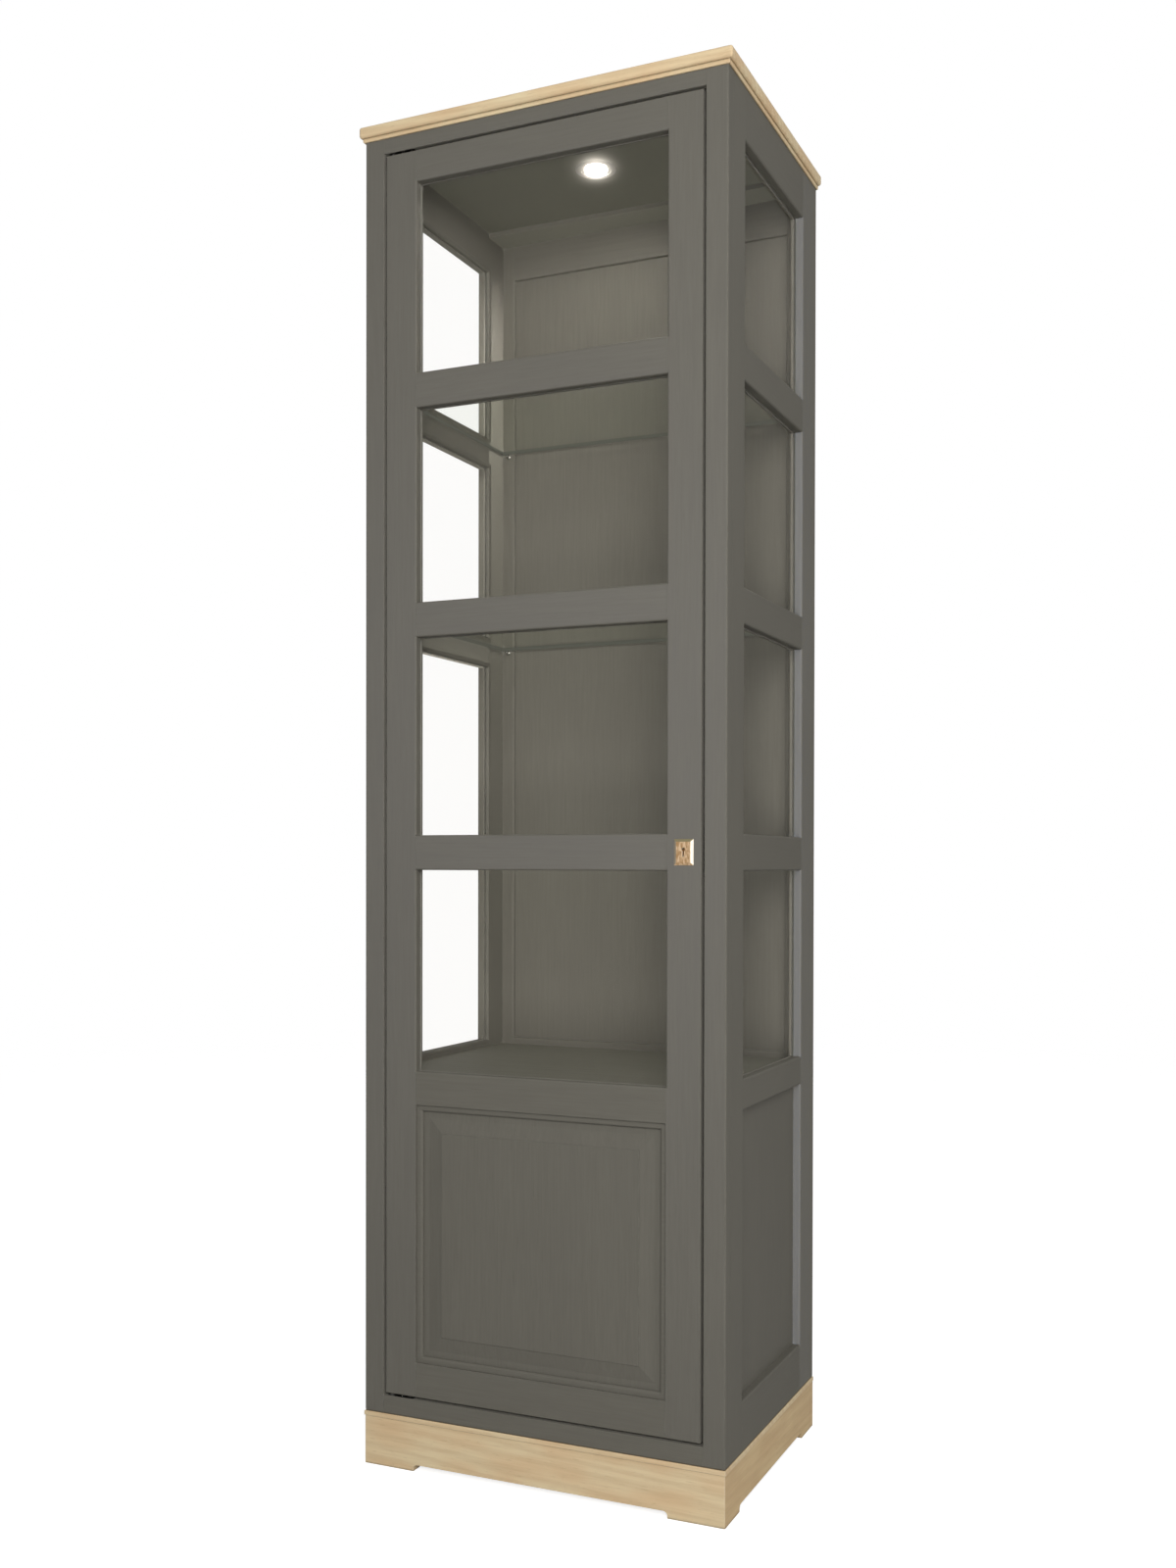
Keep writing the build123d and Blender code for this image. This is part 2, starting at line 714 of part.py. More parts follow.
def cable_grommet():
    """A rubber grommet whose middle is still closed by a thin skin."""
    start = (grommet_x, grommet_from - GROMMET_FLANGE, GROMMET_HEIGHT)
    end = (grommet_x, grommet_from + BACK_PANEL + GROMMET_FLANGE, GROMMET_HEIGHT)
    length = BACK_PANEL + 2 * GROMMET_FLANGE
    body = rod(GROMMET_RADIUS, start, BACKWARDS, length)
    body += rod(GROMMET_FLANGE_RADIUS, start, BACKWARDS, GROMMET_FLANGE)
    body += rod(GROMMET_FLANGE_RADIUS, end, FORWARDS, GROMMET_FLANGE)
    depth = (length - GROMMET_WALL) / 2
    body -= rod(GROMMET_RADIUS - GROMMET_WALL, start, BACKWARDS, depth)
    return body - rod(GROMMET_RADIUS - GROMMET_WALL, end, FORWARDS, depth)


# Pivot hinges

def leaf(low):
    """A flat leaf round the pivot's axis, running towards the door's middle."""
    x = pivot_x - LEAF_BEHIND
    y = pivot_y - LEAF_WIDTH / 2
    return span(x, x + LEAF_LENGTH, y, y + LEAF_WIDTH, low, low + LEAF)


def hinge(case_z, door_z, case_side, door_side):
    """One hinge between the doorway and the door's end, from their two facing heights."""
    case_leaf = leaf(min(case_z, case_z + case_side[2] * LEAF))
    door_leaf = leaf(min(door_z, door_z + door_side[2] * LEAF))
    case_screws = [((pivot_x + x, pivot_y, case_z), case_side) for x in LEAF_SCREWS]
    door_screws = [((pivot_x + x, pivot_y, door_z), door_side) for x in LEAF_SCREWS]
    root = (pivot_x, pivot_y, case_z + case_side[2] * LEAF)
    mouth = (pivot_x, pivot_y, door_z)
    pin = rod(PIVOT_RADIUS, root, door_side, LEAF + DOOR_GAP + PIVOT_REACH)
    eye = rod(PIVOT_RADIUS + PIVOT_FIT, mouth, door_side, LEAF)
    bore = rod(PIVOT_RADIUS + PIVOT_BORE_CLEARANCE, mouth, door_side, PIVOT_REACH + PIVOT_END_GAP)
    return {
        "case_leaf": cut(case_leaf, screw_holes(case_screws)) + pin,
        "door_leaf": cut(door_leaf, screw_holes(door_screws)) - eye,
        "case_cuts": [case_leaf] + screw_holes(case_screws),
        "door_cuts": [door_leaf, bore] + screw_holes(door_screws),
        "case_screws": case_screws,
        "door_screws": door_screws,
    }


def pivot_collar():
    """The collar on the lower pivot that carries the door."""
    return rod(PIVOT_COLLAR_RADIUS, (pivot_x, pivot_y, doorway_low), UP, DOOR_GAP)


# Lock

def lock_point(x, depth, z):
    """A point given from the keyhole's axis and the door's front face."""
    return (keyhole_x + x, front + depth, keyhole_z + z)


def lock_span(x0, x1, depth0, depth1, half_height):
    """A block given from the keyhole's axis, as high above it as below."""
    low = lock_point(x0, depth0, -half_height)
    high = lock_point(x1, depth1, half_height)
    return span(low[0], high[0], low[1], high[1], low[2], high[2])


def bolt_way(x0, x1):
    """The straight way for the bolt's head, with its clearance."""
    half_height = BOLT_HEAD / 2 + BOLT_CLEARANCE
    return lock_span(x0, x1, bolt_from - BOLT_CLEARANCE, bolt_to + BOLT_CLEARANCE, half_height)


def faceplate():
    """The plate in the door's edge round the bolt's head."""
    depth0 = bolt_middle - FACEPLATE_WIDTH / 2
    return lock_span(case_right, door_edge, depth0, depth0 + FACEPLATE_WIDTH, FACEPLATE_HEIGHT / 2)


def cover_plate():
    """The outline of the plate that closes the case from behind."""
    return lock_span(case_left, case_right, cover_from, FRAME, CASE_HEIGHT / 2 + COVER_MARGIN)


def lock_case():
    """A pressed case, open behind, with its faceplate."""
    half_height = CASE_HEIGHT / 2
    case = lock_span(case_left, case_right, case_from, cover_from, half_height)
    case -= lock_span(case_left + CASE_WALL, case_right - CASE_WALL,
                      case_from + CASE_WALL, FRAME, half_height - CASE_WALL)
    case = case + faceplate() - bolt_way(case_right - CASE_WALL - OVER, door_edge + OVER)
    return case - rod(DRUM_RADIUS + DRUM_FIT, lock_point(0, 0, 0), BACKWARDS, flange_from)


def lock_mortise():
    """All that is cut from the door's wood for the case, its cover and the drum."""
    case = lock_span(case_left, case_right, case_from, FRAME + OVER, CASE_HEIGHT / 2)
    bore = rod(DRUM_RADIUS + DRUM_BORE_CLEARANCE, lock_point(0, -OVER, 0), BACKWARDS, FRAME)
    return [case, bore, faceplate(), cover_plate()]


def cover_screws():
    """Where the screws of the cover plate go, above and below the case."""
    z = (CASE_HEIGHT + COVER_MARGIN) / 2
    return [(lock_point(x, FRAME, side * z), FORWARDS)
            for x in (case_left / 2, case_right / 2) for side in (-1, 1)]


def lock_bolt():
    """A flat bolt with an upright slot for the crank pin."""
    high = CRANK_RADIUS + crank_room + BOLT_RIM
    low = lock_point(bolt_left, bolt_from, -BOLT_LOW)
    top = lock_point(BOLT_RIGHT, bolt_to, high)
    body = span(low[0], top[0], low[1], top[1], low[2], top[2])
    body += lock_span(0, bolt_tip, bolt_from, bolt_to, BOLT_HEAD / 2)
    low = lock_point(crank_x - crank_room, bolt_from - OVER, crank_z - crank_room)
    top = lock_point(crank_x + crank_room, bolt_to + OVER, CRANK_RADIUS + crank_room)
    return body - span(low[0], top[0], low[1], top[1], low[2], top[2])


def key_drum():
    """A round drum with a key slot in front, and a crank pin on its flange."""
    drum = rod(DRUM_RADIUS, lock_point(0, DRUM_SETBACK, 0), BACKWARDS, flange_from - DRUM_SETBACK)
    rim = CRANK_RADIUS + CRANK_PIN + DRUM_FLANGE_RIM
    drum += rod(rim, lock_point(0, flange_from, 0), BACKWARDS, DRUM_FLANGE)
    drum += rod(CRANK_PIN, lock_point(crank_x, flange_from, crank_z), BACKWARDS, DRUM_FLANGE + BOLT)
    key_to = DRUM_SETBACK + KEY_SLOT_DEPTH
    return drum - lock_span(-KEY_SLOT / 2, KEY_SLOT / 2, 0, key_to, KEY_SLOT_HEIGHT / 2)


def escutcheon():
    """A bevelled plate on the door's face, with a keyhole through it."""
    outlines = []
    for depth, bevel in ((0, 0), (-PLATE, PLATE_BEVEL)):
        plane = Plane(origin=lock_point(0, depth, 0), x_dir=RIGHTWARDS, z_dir=FORWARDS)
        outlines.append(plane * Rectangle(PLATE_WIDTH - 2 * bevel, PLATE_HEIGHT - 2 * bevel))
    plate = loft(outlines, ruled=True)
    plate -= rod(KEYHOLE_RADIUS, lock_point(0, -PLATE - OVER, KEYHOLE_RISE), BACKWARDS, PLATE + 2 * OVER)
    low = lock_point(-KEYHOLE_SLOT / 2, -PLATE - OVER, -KEYHOLE_DROP)
    top = lock_point(KEYHOLE_SLOT / 2, OVER, KEYHOLE_RISE)
    return plate - span(low[0], top[0], low[1], top[1], low[2], top[2])


# Strike, in the right face stile

strike_x = door_edge + DOOR_GAP


def strike_recess():
    """The outline of the strike."""
    depth0 = bolt_middle - FACEPLATE_WIDTH / 2
    depth1 = depth0 + FACEPLATE_WIDTH
    return lock_span(strike_x, strike_x + STRIKE, depth0, depth1, STRIKE_HEIGHT / 2)


def strike_way():
    """The space that the thrown bolt fills."""
    return bolt_way(door_edge, bolt_tip + bolt_throw + STRIKE_END_GAP)


def strike_screws():
    """Where the strike's screws go."""
    z = STRIKE_HEIGHT / 2 - STRIKE_SCREW_MARGIN
    return [(lock_point(strike_x, bolt_middle, side * z), RIGHTWARDS) for side in (-1, 1)]


# The pieces, by name
parts = {}

parts["top_board"] = top_board()
parts["top_underboard"] = top_underboard()
plinth = plinth_boards()
parts["plinth_front"] = plinth[0]
parts["plinth_back"] = plinth[1]
parts["plinth_sides"] = group(plinth[2:])
parts["plinth_moulding"] = group(plinth_moulding())
parts["plinth_corner_blocks"] = group(corner_blocks())

top_hinge = hinge(doorway_high, door_high, UP, DOWN)
bottom_hinge = hinge(doorway_low, door_low, DOWN, UP)
hinges = [top_hinge, bottom_hinge]
bottom_hinge["case_leaf"] += pivot_collar()
parts["hinge_frame_leaves"] = group([unit["case_leaf"] for unit in hinges])
parts["hinge_door_leaves"] = group([unit["door_leaf"] for unit in hinges])

face_stiles, face_rails = face_frame()
strike_cuts = [strike_recess(), strike_way()] + screw_holes(strike_screws())
parts["face_stile_left"] = at_front(face_stiles[0])
parts["face_stile_right"] = cut(at_front(face_stiles[1]), strike_cuts)
parts["face_rail_bottom"] = cut(at_front(face_rails[0]), bottom_hinge["case_cuts"])
parts["face_rail_top"] = cut(at_front(face_rails[1]), top_hinge["case_cuts"])
parts["strike_plate"] = cut(strike_recess(), [strike_way()] + screw_holes(strike_screws()))

side_stiles, side_rails = side_frame()
side_beads = glazing_beads(side_openings)
in_sides, in_back = shelf_supports()
side_holes = [hole for pin, hole in in_sides]
back_holes = [hole for pin, hole in in_back]
for name, place in (("left", at_left), ("right", at_right)):
    parts[f"{name}_side_front_stile"] = cut(place(side_stiles[0]), side_holes)
    parts[f"{name}_side_rear_stile"] = place(side_stiles[1])
    parts[f"{name}_side_rails"] = group([place(rail) for rail in side_rails])
    parts[f"{name}_side_panes"] = group([place(pane) for pane in panes(side_openings)])
    parts[f"{name}_side_panel"] = place(side_panel())
parts["side_beads"] = group([place(bead) for place in (at_left, at_right) for bead in side_beads])

back_stiles, back_rails = back_frame()
parts["back_stiles"] = group([cut(at_back(stile), back_holes) for stile in back_stiles])
parts["back_rails"] = group([at_back(rail) for rail in back_rails])
parts["back_panel_lower"] = back_panel(back_openings[0]) - grommet_hole()
parts["back_panel_upper"] = back_panel(back_openings[1])
parts["cable_grommet"] = cable_grommet()

parts["ceiling_panel"] = ceiling_panel()
parts["ceiling_rear_rail"] = ceiling_rear_rail()
parts["vitrine_floor"] = housed_board(inner_front + FLOOR_SETBACK, floor_top)
parts["base_board"] = housed_board(inner_front, doorway_low)
parts["door_stop"] = door_stop()
for name, seat in zip(("upper", "middle", "lower"), shelf_seats):
    parts[f"shelf_{name}"] = shelf(seat)
parts["shelf_supports"] = group([pin for pin, hole in in_sides + in_back])
parts["lamp_housing"] = lamp_housing()
parts["lamp_bezel"] = lamp_bezel()
parts["lamp_lens"] = lamp_lens()
parts["lamp_driver"] = lamp_driver()

door_stiles, door_rails = door_frame()
hinge_cuts = top_hinge["door_cuts"] + bottom_hinge["door_cuts"]
lock_cuts = lock_mortise() + screw_holes(cover_screws())
parts["door_stile_left"] = cut(at_front(door_stiles[0]), hinge_cuts)
parts["door_stile_right"] = cut(at_front(door_stiles[1]), lock_cuts)
parts["door_rail_bottom"] = cut(at_front(door_rails[0]), bottom_hinge["door_cuts"])
parts["door_lock_rail"] = at_front(door_rails[1])
parts["door_glazing_rails"] = group([at_front(rail) for rail in door_rails[2:-1]])
parts["door_rail_top"] = cut(at_front(door_rails[-1]), top_hinge["door_cuts"])
parts["door_panel"] = at_front(raised_panel())
parts["door_panel_moulding"] = group([at_front(strip) for strip in panel_moulding()])
parts["door_panes"] = group([at_front(pane) for pane in panes(door_openings)])
parts["door_beads"] = group([at_front(bead) for bead in glazing_beads(door_openings)])

parts["lock_case"] = lock_case()
parts["lock_cover"] = cut(cover_plate(), screw_holes(cover_screws()))
parts["lock_bolt"] = lock_bolt()
parts["key_drum"] = key_drum()
parts["escutcheon"] = escutcheon()

case_screws = top_hinge["case_screws"] + bottom_hinge["case_screws"] + strike_screws()
door_screws = top_hinge["door_screws"] + bottom_hinge["door_screws"] + cover_screws()
parts["cabinet_screws"] = group([screw(*place) for place in case_screws])
parts["door_screws"] = group([screw(*place) for place in door_screws])

os.makedirs("parts", exist_ok=True)
for name, shape in parts.items():
    export_step(shape, f"parts/{name}.step")
print(len(parts), "parts, bolt throw", round(bolt_throw, 3))
print("pane rows", door_rows)
print("hinge axis", pivot_x, pivot_y, "keyhole", lock_point(0, 0, 0))
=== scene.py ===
"""Looks of the display cabinet: finishes, small fittings, room, lamps and camera."""

from math import radians

import bpy
from mathutils import Matrix, Vector


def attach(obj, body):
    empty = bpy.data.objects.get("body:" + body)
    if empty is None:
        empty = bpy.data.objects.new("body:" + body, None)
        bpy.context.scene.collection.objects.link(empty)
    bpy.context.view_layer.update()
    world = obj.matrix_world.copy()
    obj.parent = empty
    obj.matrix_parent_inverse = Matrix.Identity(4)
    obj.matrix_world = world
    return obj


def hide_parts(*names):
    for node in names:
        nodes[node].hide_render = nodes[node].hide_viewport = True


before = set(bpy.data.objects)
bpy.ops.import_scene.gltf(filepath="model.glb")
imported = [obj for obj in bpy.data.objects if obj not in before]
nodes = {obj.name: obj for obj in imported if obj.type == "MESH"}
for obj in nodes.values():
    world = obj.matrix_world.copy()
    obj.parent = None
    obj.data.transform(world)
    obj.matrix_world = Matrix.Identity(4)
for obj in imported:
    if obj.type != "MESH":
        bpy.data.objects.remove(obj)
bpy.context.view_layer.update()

MM = 0.001
SIDEWAYS, BACKWARDS, UPRIGHT = 0, 1, 2

# The photograph's camera, in metres, degrees and pixels of the 1200 by 1600 picture
PICTURE_HEIGHT = 1600.0
CAMERA_PLACE = Vector((1.0196, -2.3076, 0.9473))
CAMERA_TURN = 24.139
CAMERA_TILT = -0.518
CAMERA_ROLL = 0.104
FOCAL_LENGTH = 1581.9
OPTICAL_AXIS = 895.6
FILM_HEIGHT = 36.0
FARTHEST_SEEN = 60.0

# The lamp in the ceiling, and how its painted glow is drawn out and turned
LAMP_PLACE = Vector((0.0, -0.006, 2.069))
HALO_STRETCH = 1.6
HALO_TURN = radians(23.9)


def tint(red, green, blue):
    """A colour as the screen writes it, from 0 to 255, as the shaders want it."""
    parts = [part / 255 for part in (red, green, blue)]
    return (*[p / 12.92 if p <= 0.04045 else ((p + 0.055) / 1.055) ** 2.4 for p in parts], 1.0)


WHITE = tint(255, 255, 255)


# Node trees

def add(tree, kind, inputs=None, **settings):
    """A node with its settings, its plain values and the sockets that feed it."""
    made = tree.nodes.new(kind)
    for name, value in settings.items():
        setattr(made, name, value)
    for key, value in (inputs or {}).items():
        if isinstance(value, bpy.types.NodeSocket):
            tree.links.new(value, made.inputs[key])
        else:
            made.inputs[key].default_value = value
    return made


def maths(tree, operation, first, second=0.0):
    """One step of arithmetic."""
    return add(tree, "ShaderNodeMath", {0: first, 1: second}, operation=operation).outputs[0]


def spread(tree, value, low, high, to_low=0.0, to_high=1.0):
    """Stretches the values between two levels over another range, with soft ends."""
    inputs = {"Value": value, "From Min": low, "From Max": high, "To Min": to_low, "To Max": to_high}
    return add(tree, "ShaderNodeMapRange", inputs, interpolation_type="SMOOTHSTEP").outputs[0]


def mix_colours(tree, share, first, second):
    """The first colour turning into the second."""
    return add(tree, "ShaderNodeMix", {0: share, 6: first, 7: second}, data_type="RGBA").outputs[2]


def mix_shaders(tree, share, first, second):
    """The first shader turning into the second."""
    inputs = {0: share, 1: first.outputs[0], 2: second.outputs[0]}
    return add(tree, "ShaderNodeMixShader", inputs)


def surface_place(tree):
    """The place on the object, in the cabinet's own frame."""
    return add(tree, "ShaderNodeTexCoord").outputs["Object"]


def facing(tree):
    """How far the surface faces along each axis of the cabinet's own frame."""
    direction = add(tree, "ShaderNodeTexCoord").outputs["Normal"]
    return add(tree, "ShaderNodeSeparateXYZ", {0: direction}).outputs


def far_from_lamp(tree):
    """How far a place is from the middle of the lamp, measured shorter along its long axis."""
    inputs = {0: surface_place(tree), 1: LAMP_PLACE}
    moved = add(tree, "ShaderNodeVectorMath", inputs, operation="SUBTRACT").outputs[0]
    inputs = {"Vector": moved, "Rotation": (0.0, 0.0, HALO_TURN), "Scale": (1.0, HALO_STRETCH, 1.0)}
    squeezed = add(tree, "ShaderNodeMapping", inputs, vector_type="TEXTURE").outputs[0]
    return add(tree, "ShaderNodeVectorMath", {0: squeezed}, operation="LENGTH").outputs["Value"]


def along_grain(tree, place, along, stretch):
    """Places squeezed along one axis, so that a pattern is drawn out along it."""
    scale = [1.0, 1.0, 1.0]
    scale[along] = 1.0 / stretch
    return add(tree, "ShaderNodeMapping", {"Vector": place, "Scale": scale}).outputs[0]


def noise(tree, place, scale, detail=4.0, roughness=0.55, distortion=0.0):
    """Soft random values about one half."""
    inputs = {"Vector": place, "Scale": scale, "Detail": detail, "Roughness": roughness,
              "Distortion": distortion}
    return add(tree, "ShaderNodeTexNoise", inputs).outputs[0]


def rounded_edges(tree, radius):
    """The surface's direction, rounded over at the edges."""
    return add(tree, "ShaderNodeBevel", {"Radius": radius}, samples=4).outputs[0]


def edges_of(tree, rounded):
    """One at the edges and nothing on the flats."""
    flat = add(tree, "ShaderNodeNewGeometry").outputs["Normal"]
    likeness = add(tree, "ShaderNodeVectorMath", {0: rounded, 1: flat}, operation="DOT_PRODUCT")
    return spread(tree, likeness.outputs["Value"], low=0.995, high=0.86)


def recesses(tree, reach, open_level, closed_level):
    """One where less is open around the surface than the closed level, nothing above the open level."""
    made = add(tree, "ShaderNodeAmbientOcclusion", {"Distance": reach}, samples=6)
    return spread(tree, made.outputs["AO"], open_level, closed_level)


def relief(tree, height, distance, strength, normal=None):
    """A surface direction that follows a height."""
    inputs = {"Height": height, "Distance": distance, "Strength": strength}
    if normal is not None:
        inputs["Normal"] = normal
    return add(tree, "ShaderNodeBump", inputs).outputs[0]


def new_finish(name, inputs):
    """An empty material whose one shader has the given plain values."""
    made = bpy.data.materials.new(name)
    made.use_nodes = True
    shader = made.node_tree.nodes["Principled BSDF"]
    for key, value in inputs.items():
        shader.inputs[key].default_value = value
    return made, made.node_tree, shader


def feed(tree, shader, sockets):
    """Links patterns to a shader."""
    for key, socket in sockets.items():
        tree.links.new(socket, shader.inputs[key])


# Paint

PAINT_DARK = tint(106, 103, 94)
PAINT_LIGHT = tint(111, 108, 99)
PAINT_CLOUDS = tint(104, 101, 93)
PAINT_WORN = tint(148, 144, 133)
PAINT_IN_PORES = tint(86, 83, 74)
# Painted light: a lighter colour laid in gaps and recesses, where shade falls
PAINT_LIT_IN_GAPS = tint(150, 147, 138)
PAINT_EDGE = 1.2 * MM
PORES_SHOW = 0.15
GAP_LIGHT_REACH = 12.0 * MM
GAP_LIGHT_SHOWS = 0.9
BRUSH_RELIEF = 0.08 * MM


def grain_and_brush(tree, place, along):
    """Fine brushed streaks and the wood's open pores, both drawn out along the grain."""
    brushed = along_grain(tree, place, along, stretch=26.0)
    grained = along_grain(tree, place, along, stretch=24.0)
    streaks = noise(tree, brushed, scale=240.0, detail=7.0, roughness=0.7, distortion=0.4)
    pores = noise(tree, grained, scale=620.0, detail=2.0, roughness=0.5)
    return streaks, spread(tree, pores, low=0.60, high=0.72)


def paint_wear(tree, place, edges):
    """Where the paint has worn at the edges, more in some places than in others."""
    patches = spread(tree, noise(tree, place, scale=60.0), low=0.42, high=0.7, to_low=0.08, to_high=0.45)
    return maths(tree, "MULTIPLY", edges, patches)


def paint(name, along):
    """Satin paint brushed along the grain, a little worn where the edges are, with painted light in its
    gaps and recesses that lifts the shade there.
    """
    made, tree, shader = new_finish(name, {"Specular IOR Level": 0.1})
    place = surface_place(tree)
    streaks, pores = grain_and_brush(tree, place, along)
    drawn_out = along_grain(tree, place, along, stretch=3.0)
    clouds = noise(tree, drawn_out, scale=14.0, detail=4.0, roughness=0.6)
    cloudy = spread(tree, clouds, low=0.3, high=0.7, to_high=0.4)
    rounded = rounded_edges(tree, PAINT_EDGE)
    # Painted light in gaps and recesses, which lightens the shade that falls there
    gaps = recesses(tree, GAP_LIGHT_REACH, open_level=0.42, closed_level=0.15)
    lit_gaps = maths(tree, "MULTIPLY", gaps, GAP_LIGHT_SHOWS)
    colour = mix_colours(tree, spread(tree, streaks, low=0.32, high=0.68), PAINT_DARK, PAINT_LIGHT)
    colour = mix_colours(tree, cloudy, colour, PAINT_CLOUDS)
    colour = mix_colours(tree, maths(tree, "MULTIPLY", pores, PORES_SHOW), colour, PAINT_IN_PORES)
    colour = mix_colours(tree, paint_wear(tree, place, edges_of(tree, rounded)), colour, PAINT_WORN)
    colour = mix_colours(tree, lit_gaps, colour, PAINT_LIT_IN_GAPS)
    height = maths(tree, "SUBTRACT", streaks, pores)
    sockets = {
        "Base Color": colour,
        "Roughness": spread(tree, streaks, low=0.3, high=0.7, to_low=0.50, to_high=0.64),
        "Normal": relief(tree, height, BRUSH_RELIEF, strength=0.35, normal=rounded),
    }
    feed(tree, shader, sockets)
    return made


# Oak and softwood

OAK_PALE = tint(232, 213, 174)
OAK_DEEP = tint(226, 197, 156)
# A darker, browner copy of the oak: painted shade for the plinth's sides
OAK_SIDES_SHADED_PALE = tint(222, 197, 152)
OAK_SIDES_SHADED_DEEP = tint(212, 183, 140)
OAK_LATE = tint(192, 160, 120)
# Painted highlight for the rounded arrises
OAK_ARRIS_HIGHLIGHT = tint(252, 244, 222)
OAK_IN_PORES = tint(168, 138, 100)
# Painted shade for corners and the steps between boards
OAK_PAINTED_SHADE = tint(96, 76, 48)
OAK_EDGE = 1.0 * MM
OAK_HIGHLIGHT_SHOWS = 0.6
OAK_PORES_SHOW = 0.30
OAK_SHADE_REACH = 4.0 * MM
OAK_SHADE_SHOWS = 0.8
OAK_RELIEF = 0.10 * MM


def oak_rings(tree, place, along):
    """The growth rings, wavy bands drawn out along the grain."""
    inputs = {"Vector": along_grain(tree, place, along, stretch=14.0), "Scale": 34.0,
              "Distortion": 5.0, "Detail": 3.0, "Detail Scale": 1.4}
    bands = add(tree, "ShaderNodeTexWave", inputs, wave_type="BANDS", bands_direction="DIAGONAL")
    return spread(tree, bands.outputs[1], low=0.2, high=1.0, to_high=0.20)


def oak(name, along, pale, deep):
    """Pale oiled oak with faint growth rings, soft blotches and fine pores, a painted highlight on its
    arrises and painted shade in its corners and at the steps between boards.
    """
    made, tree, shader = new_finish(name, {"Specular IOR Level": 0.2})
    place = surface_place(tree)
    blotched, fibrous, porous = [along_grain(tree, place, along, stretch) for stretch in (2.5, 26.0, 14.0)]
    blotches = noise(tree, blotched, scale=22.0, detail=2.0, roughness=0.5)
    fibres = noise(tree, fibrous, scale=360.0, detail=5.0, roughness=0.6)
    pores = spread(tree, noise(tree, porous, scale=760.0, detail=2.0), low=0.61, high=0.71)
    rounded = rounded_edges(tree, OAK_EDGE)
    # Painted highlight: a pale colour on the arrises, where light catches them
    on_edge = maths(tree, "MULTIPLY", edges_of(tree, rounded), OAK_HIGHLIGHT_SHOWS)
    # Painted shade: a dark colour in corners and at the steps between boards
    shade_in_corners = recesses(tree, OAK_SHADE_REACH, open_level=0.92, closed_level=0.45)
    shaded = maths(tree, "MULTIPLY", shade_in_corners, OAK_SHADE_SHOWS)
    colour = mix_colours(tree, spread(tree, blotches, low=0.3, high=0.7), pale, deep)
    colour = mix_colours(tree, oak_rings(tree, place, along), colour, OAK_LATE)
    colour = mix_colours(tree, spread(tree, fibres, low=0.35, high=0.75, to_high=0.22), colour, OAK_LATE)
    colour = mix_colours(tree, maths(tree, "MULTIPLY", pores, OAK_PORES_SHOW), colour, OAK_IN_PORES)
    colour = mix_colours(tree, on_edge, colour, OAK_ARRIS_HIGHLIGHT)
    colour = mix_colours(tree, shaded, colour, OAK_PAINTED_SHADE)
    height = maths(tree, "SUBTRACT", fibres, pores)
    sockets = {
        "Base Color": colour,
        "Roughness": spread(tree, fibres, low=0.3, high=0.7, to_low=0.50, to_high=0.62),
        "Normal": relief(tree, height, OAK_RELIEF, strength=0.5, normal=rounded),
    }
    feed(tree, shader, sockets)
    return made


SOFTWOOD_EARLY = tint(222, 196, 152)
SOFTWOOD_LATE = tint(190, 150, 100)
SOFTWOOD_SAWN = tint(160, 124, 84)
SAWN_RELIEF = 0.3 * MM


def softwood(name):
    """Bare sawn softwood for the blocks inside the plinth."""
    made, tree, shader = new_finish(name, {"Specular IOR Level": 0.25, "Roughness": 0.75})
    place = surface_place(tree)
    inputs = {"Vector": along_grain(tree, place, UPRIGHT, stretch=12.0), "Scale": 60.0,
              "Distortion": 4.0, "Detail": 2.0}
    rings = add(tree, "ShaderNodeTexWave", inputs, wave_type="BANDS", bands_direction="X").outputs[1]
    sawn = noise(tree, along_grain(tree, place, SIDEWAYS, stretch=10.0), scale=420.0, detail=4.0)
    marks = spread(tree, sawn, low=0.4, high=0.7, to_high=0.3)
    colour = mix_colours(tree, rings, SOFTWOOD_EARLY, SOFTWOOD_LATE)
    colour = mix_colours(tree, marks, colour, SOFTWOOD_SAWN)
    feed(tree, shader, {"Base Color": colour, "Normal": relief(tree, sawn, SAWN_RELIEF, strength=0.5)})
    return made


# Glass

GLASS_CLEAR = tint(255, 254.8, 254.4)
GLASS_SHELF = tint(251.5, 252.5, 250.5)
GLASS_EDGE = tint(110, 112, 104)
GLASS_DUST = tint(200, 200, 196)
# Painted glow for the glass edges, which are no lamp
EDGE_PAINTED_GLOW = tint(88, 88, 80)
PANE_MIRROR = 0.2
SHELF_MIRROR = 0.1
FLOAT_WAVES = 0.6 * MM
GLASS_INDEX = 1.5
PAINTED_GLOW_SHARE = 0.7
FACES_ACROSS = 0.7


def mirror_of(tree, place, haze):
    """The pane's reflection, slightly wavy and dulled by the haze."""
    waves = relief(tree, noise(tree, place, scale=5.0, detail=1.0), FLOAT_WAVES, strength=0.2)
    gloss = spread(tree, haze, low=0.35, high=0.8, to_high=0.09)
    return add(tree, "ShaderNodeBsdfGlossy", {"Color": WHITE, "Roughness": gloss, "Normal": waves})


def mirrored_share(tree, mirror_share):
    """How much the glass mirrors: more at a slant, and only where light enters it."""
    slant = add(tree, "ShaderNodeFresnel", {"IOR": GLASS_INDEX}).outputs[0]
    leaving = add(tree, "ShaderNodeNewGeometry").outputs["Backfacing"]
    entering = maths(tree, "SUBTRACT", 1.0, leaving)
    return maths(tree, "MULTIPLY", maths(tree, "MULTIPLY", slant, mirror_share), entering)


def glass_edge(tree):
    """The ground edge, with a painted glow that stands in for the light which runs to it inside the glass.
    """
    ground = add(tree, "ShaderNodeBsdfDiffuse", {"Color": GLASS_EDGE})
    # Painted light: the edge glows by emission, though it is no lamp
    glow = add(tree, "ShaderNodeEmission", {"Color": EDGE_PAINTED_GLOW, "Strength": 1.0})
    return mix_shaders(tree, PAINTED_GLOW_SHARE, ground, glow)


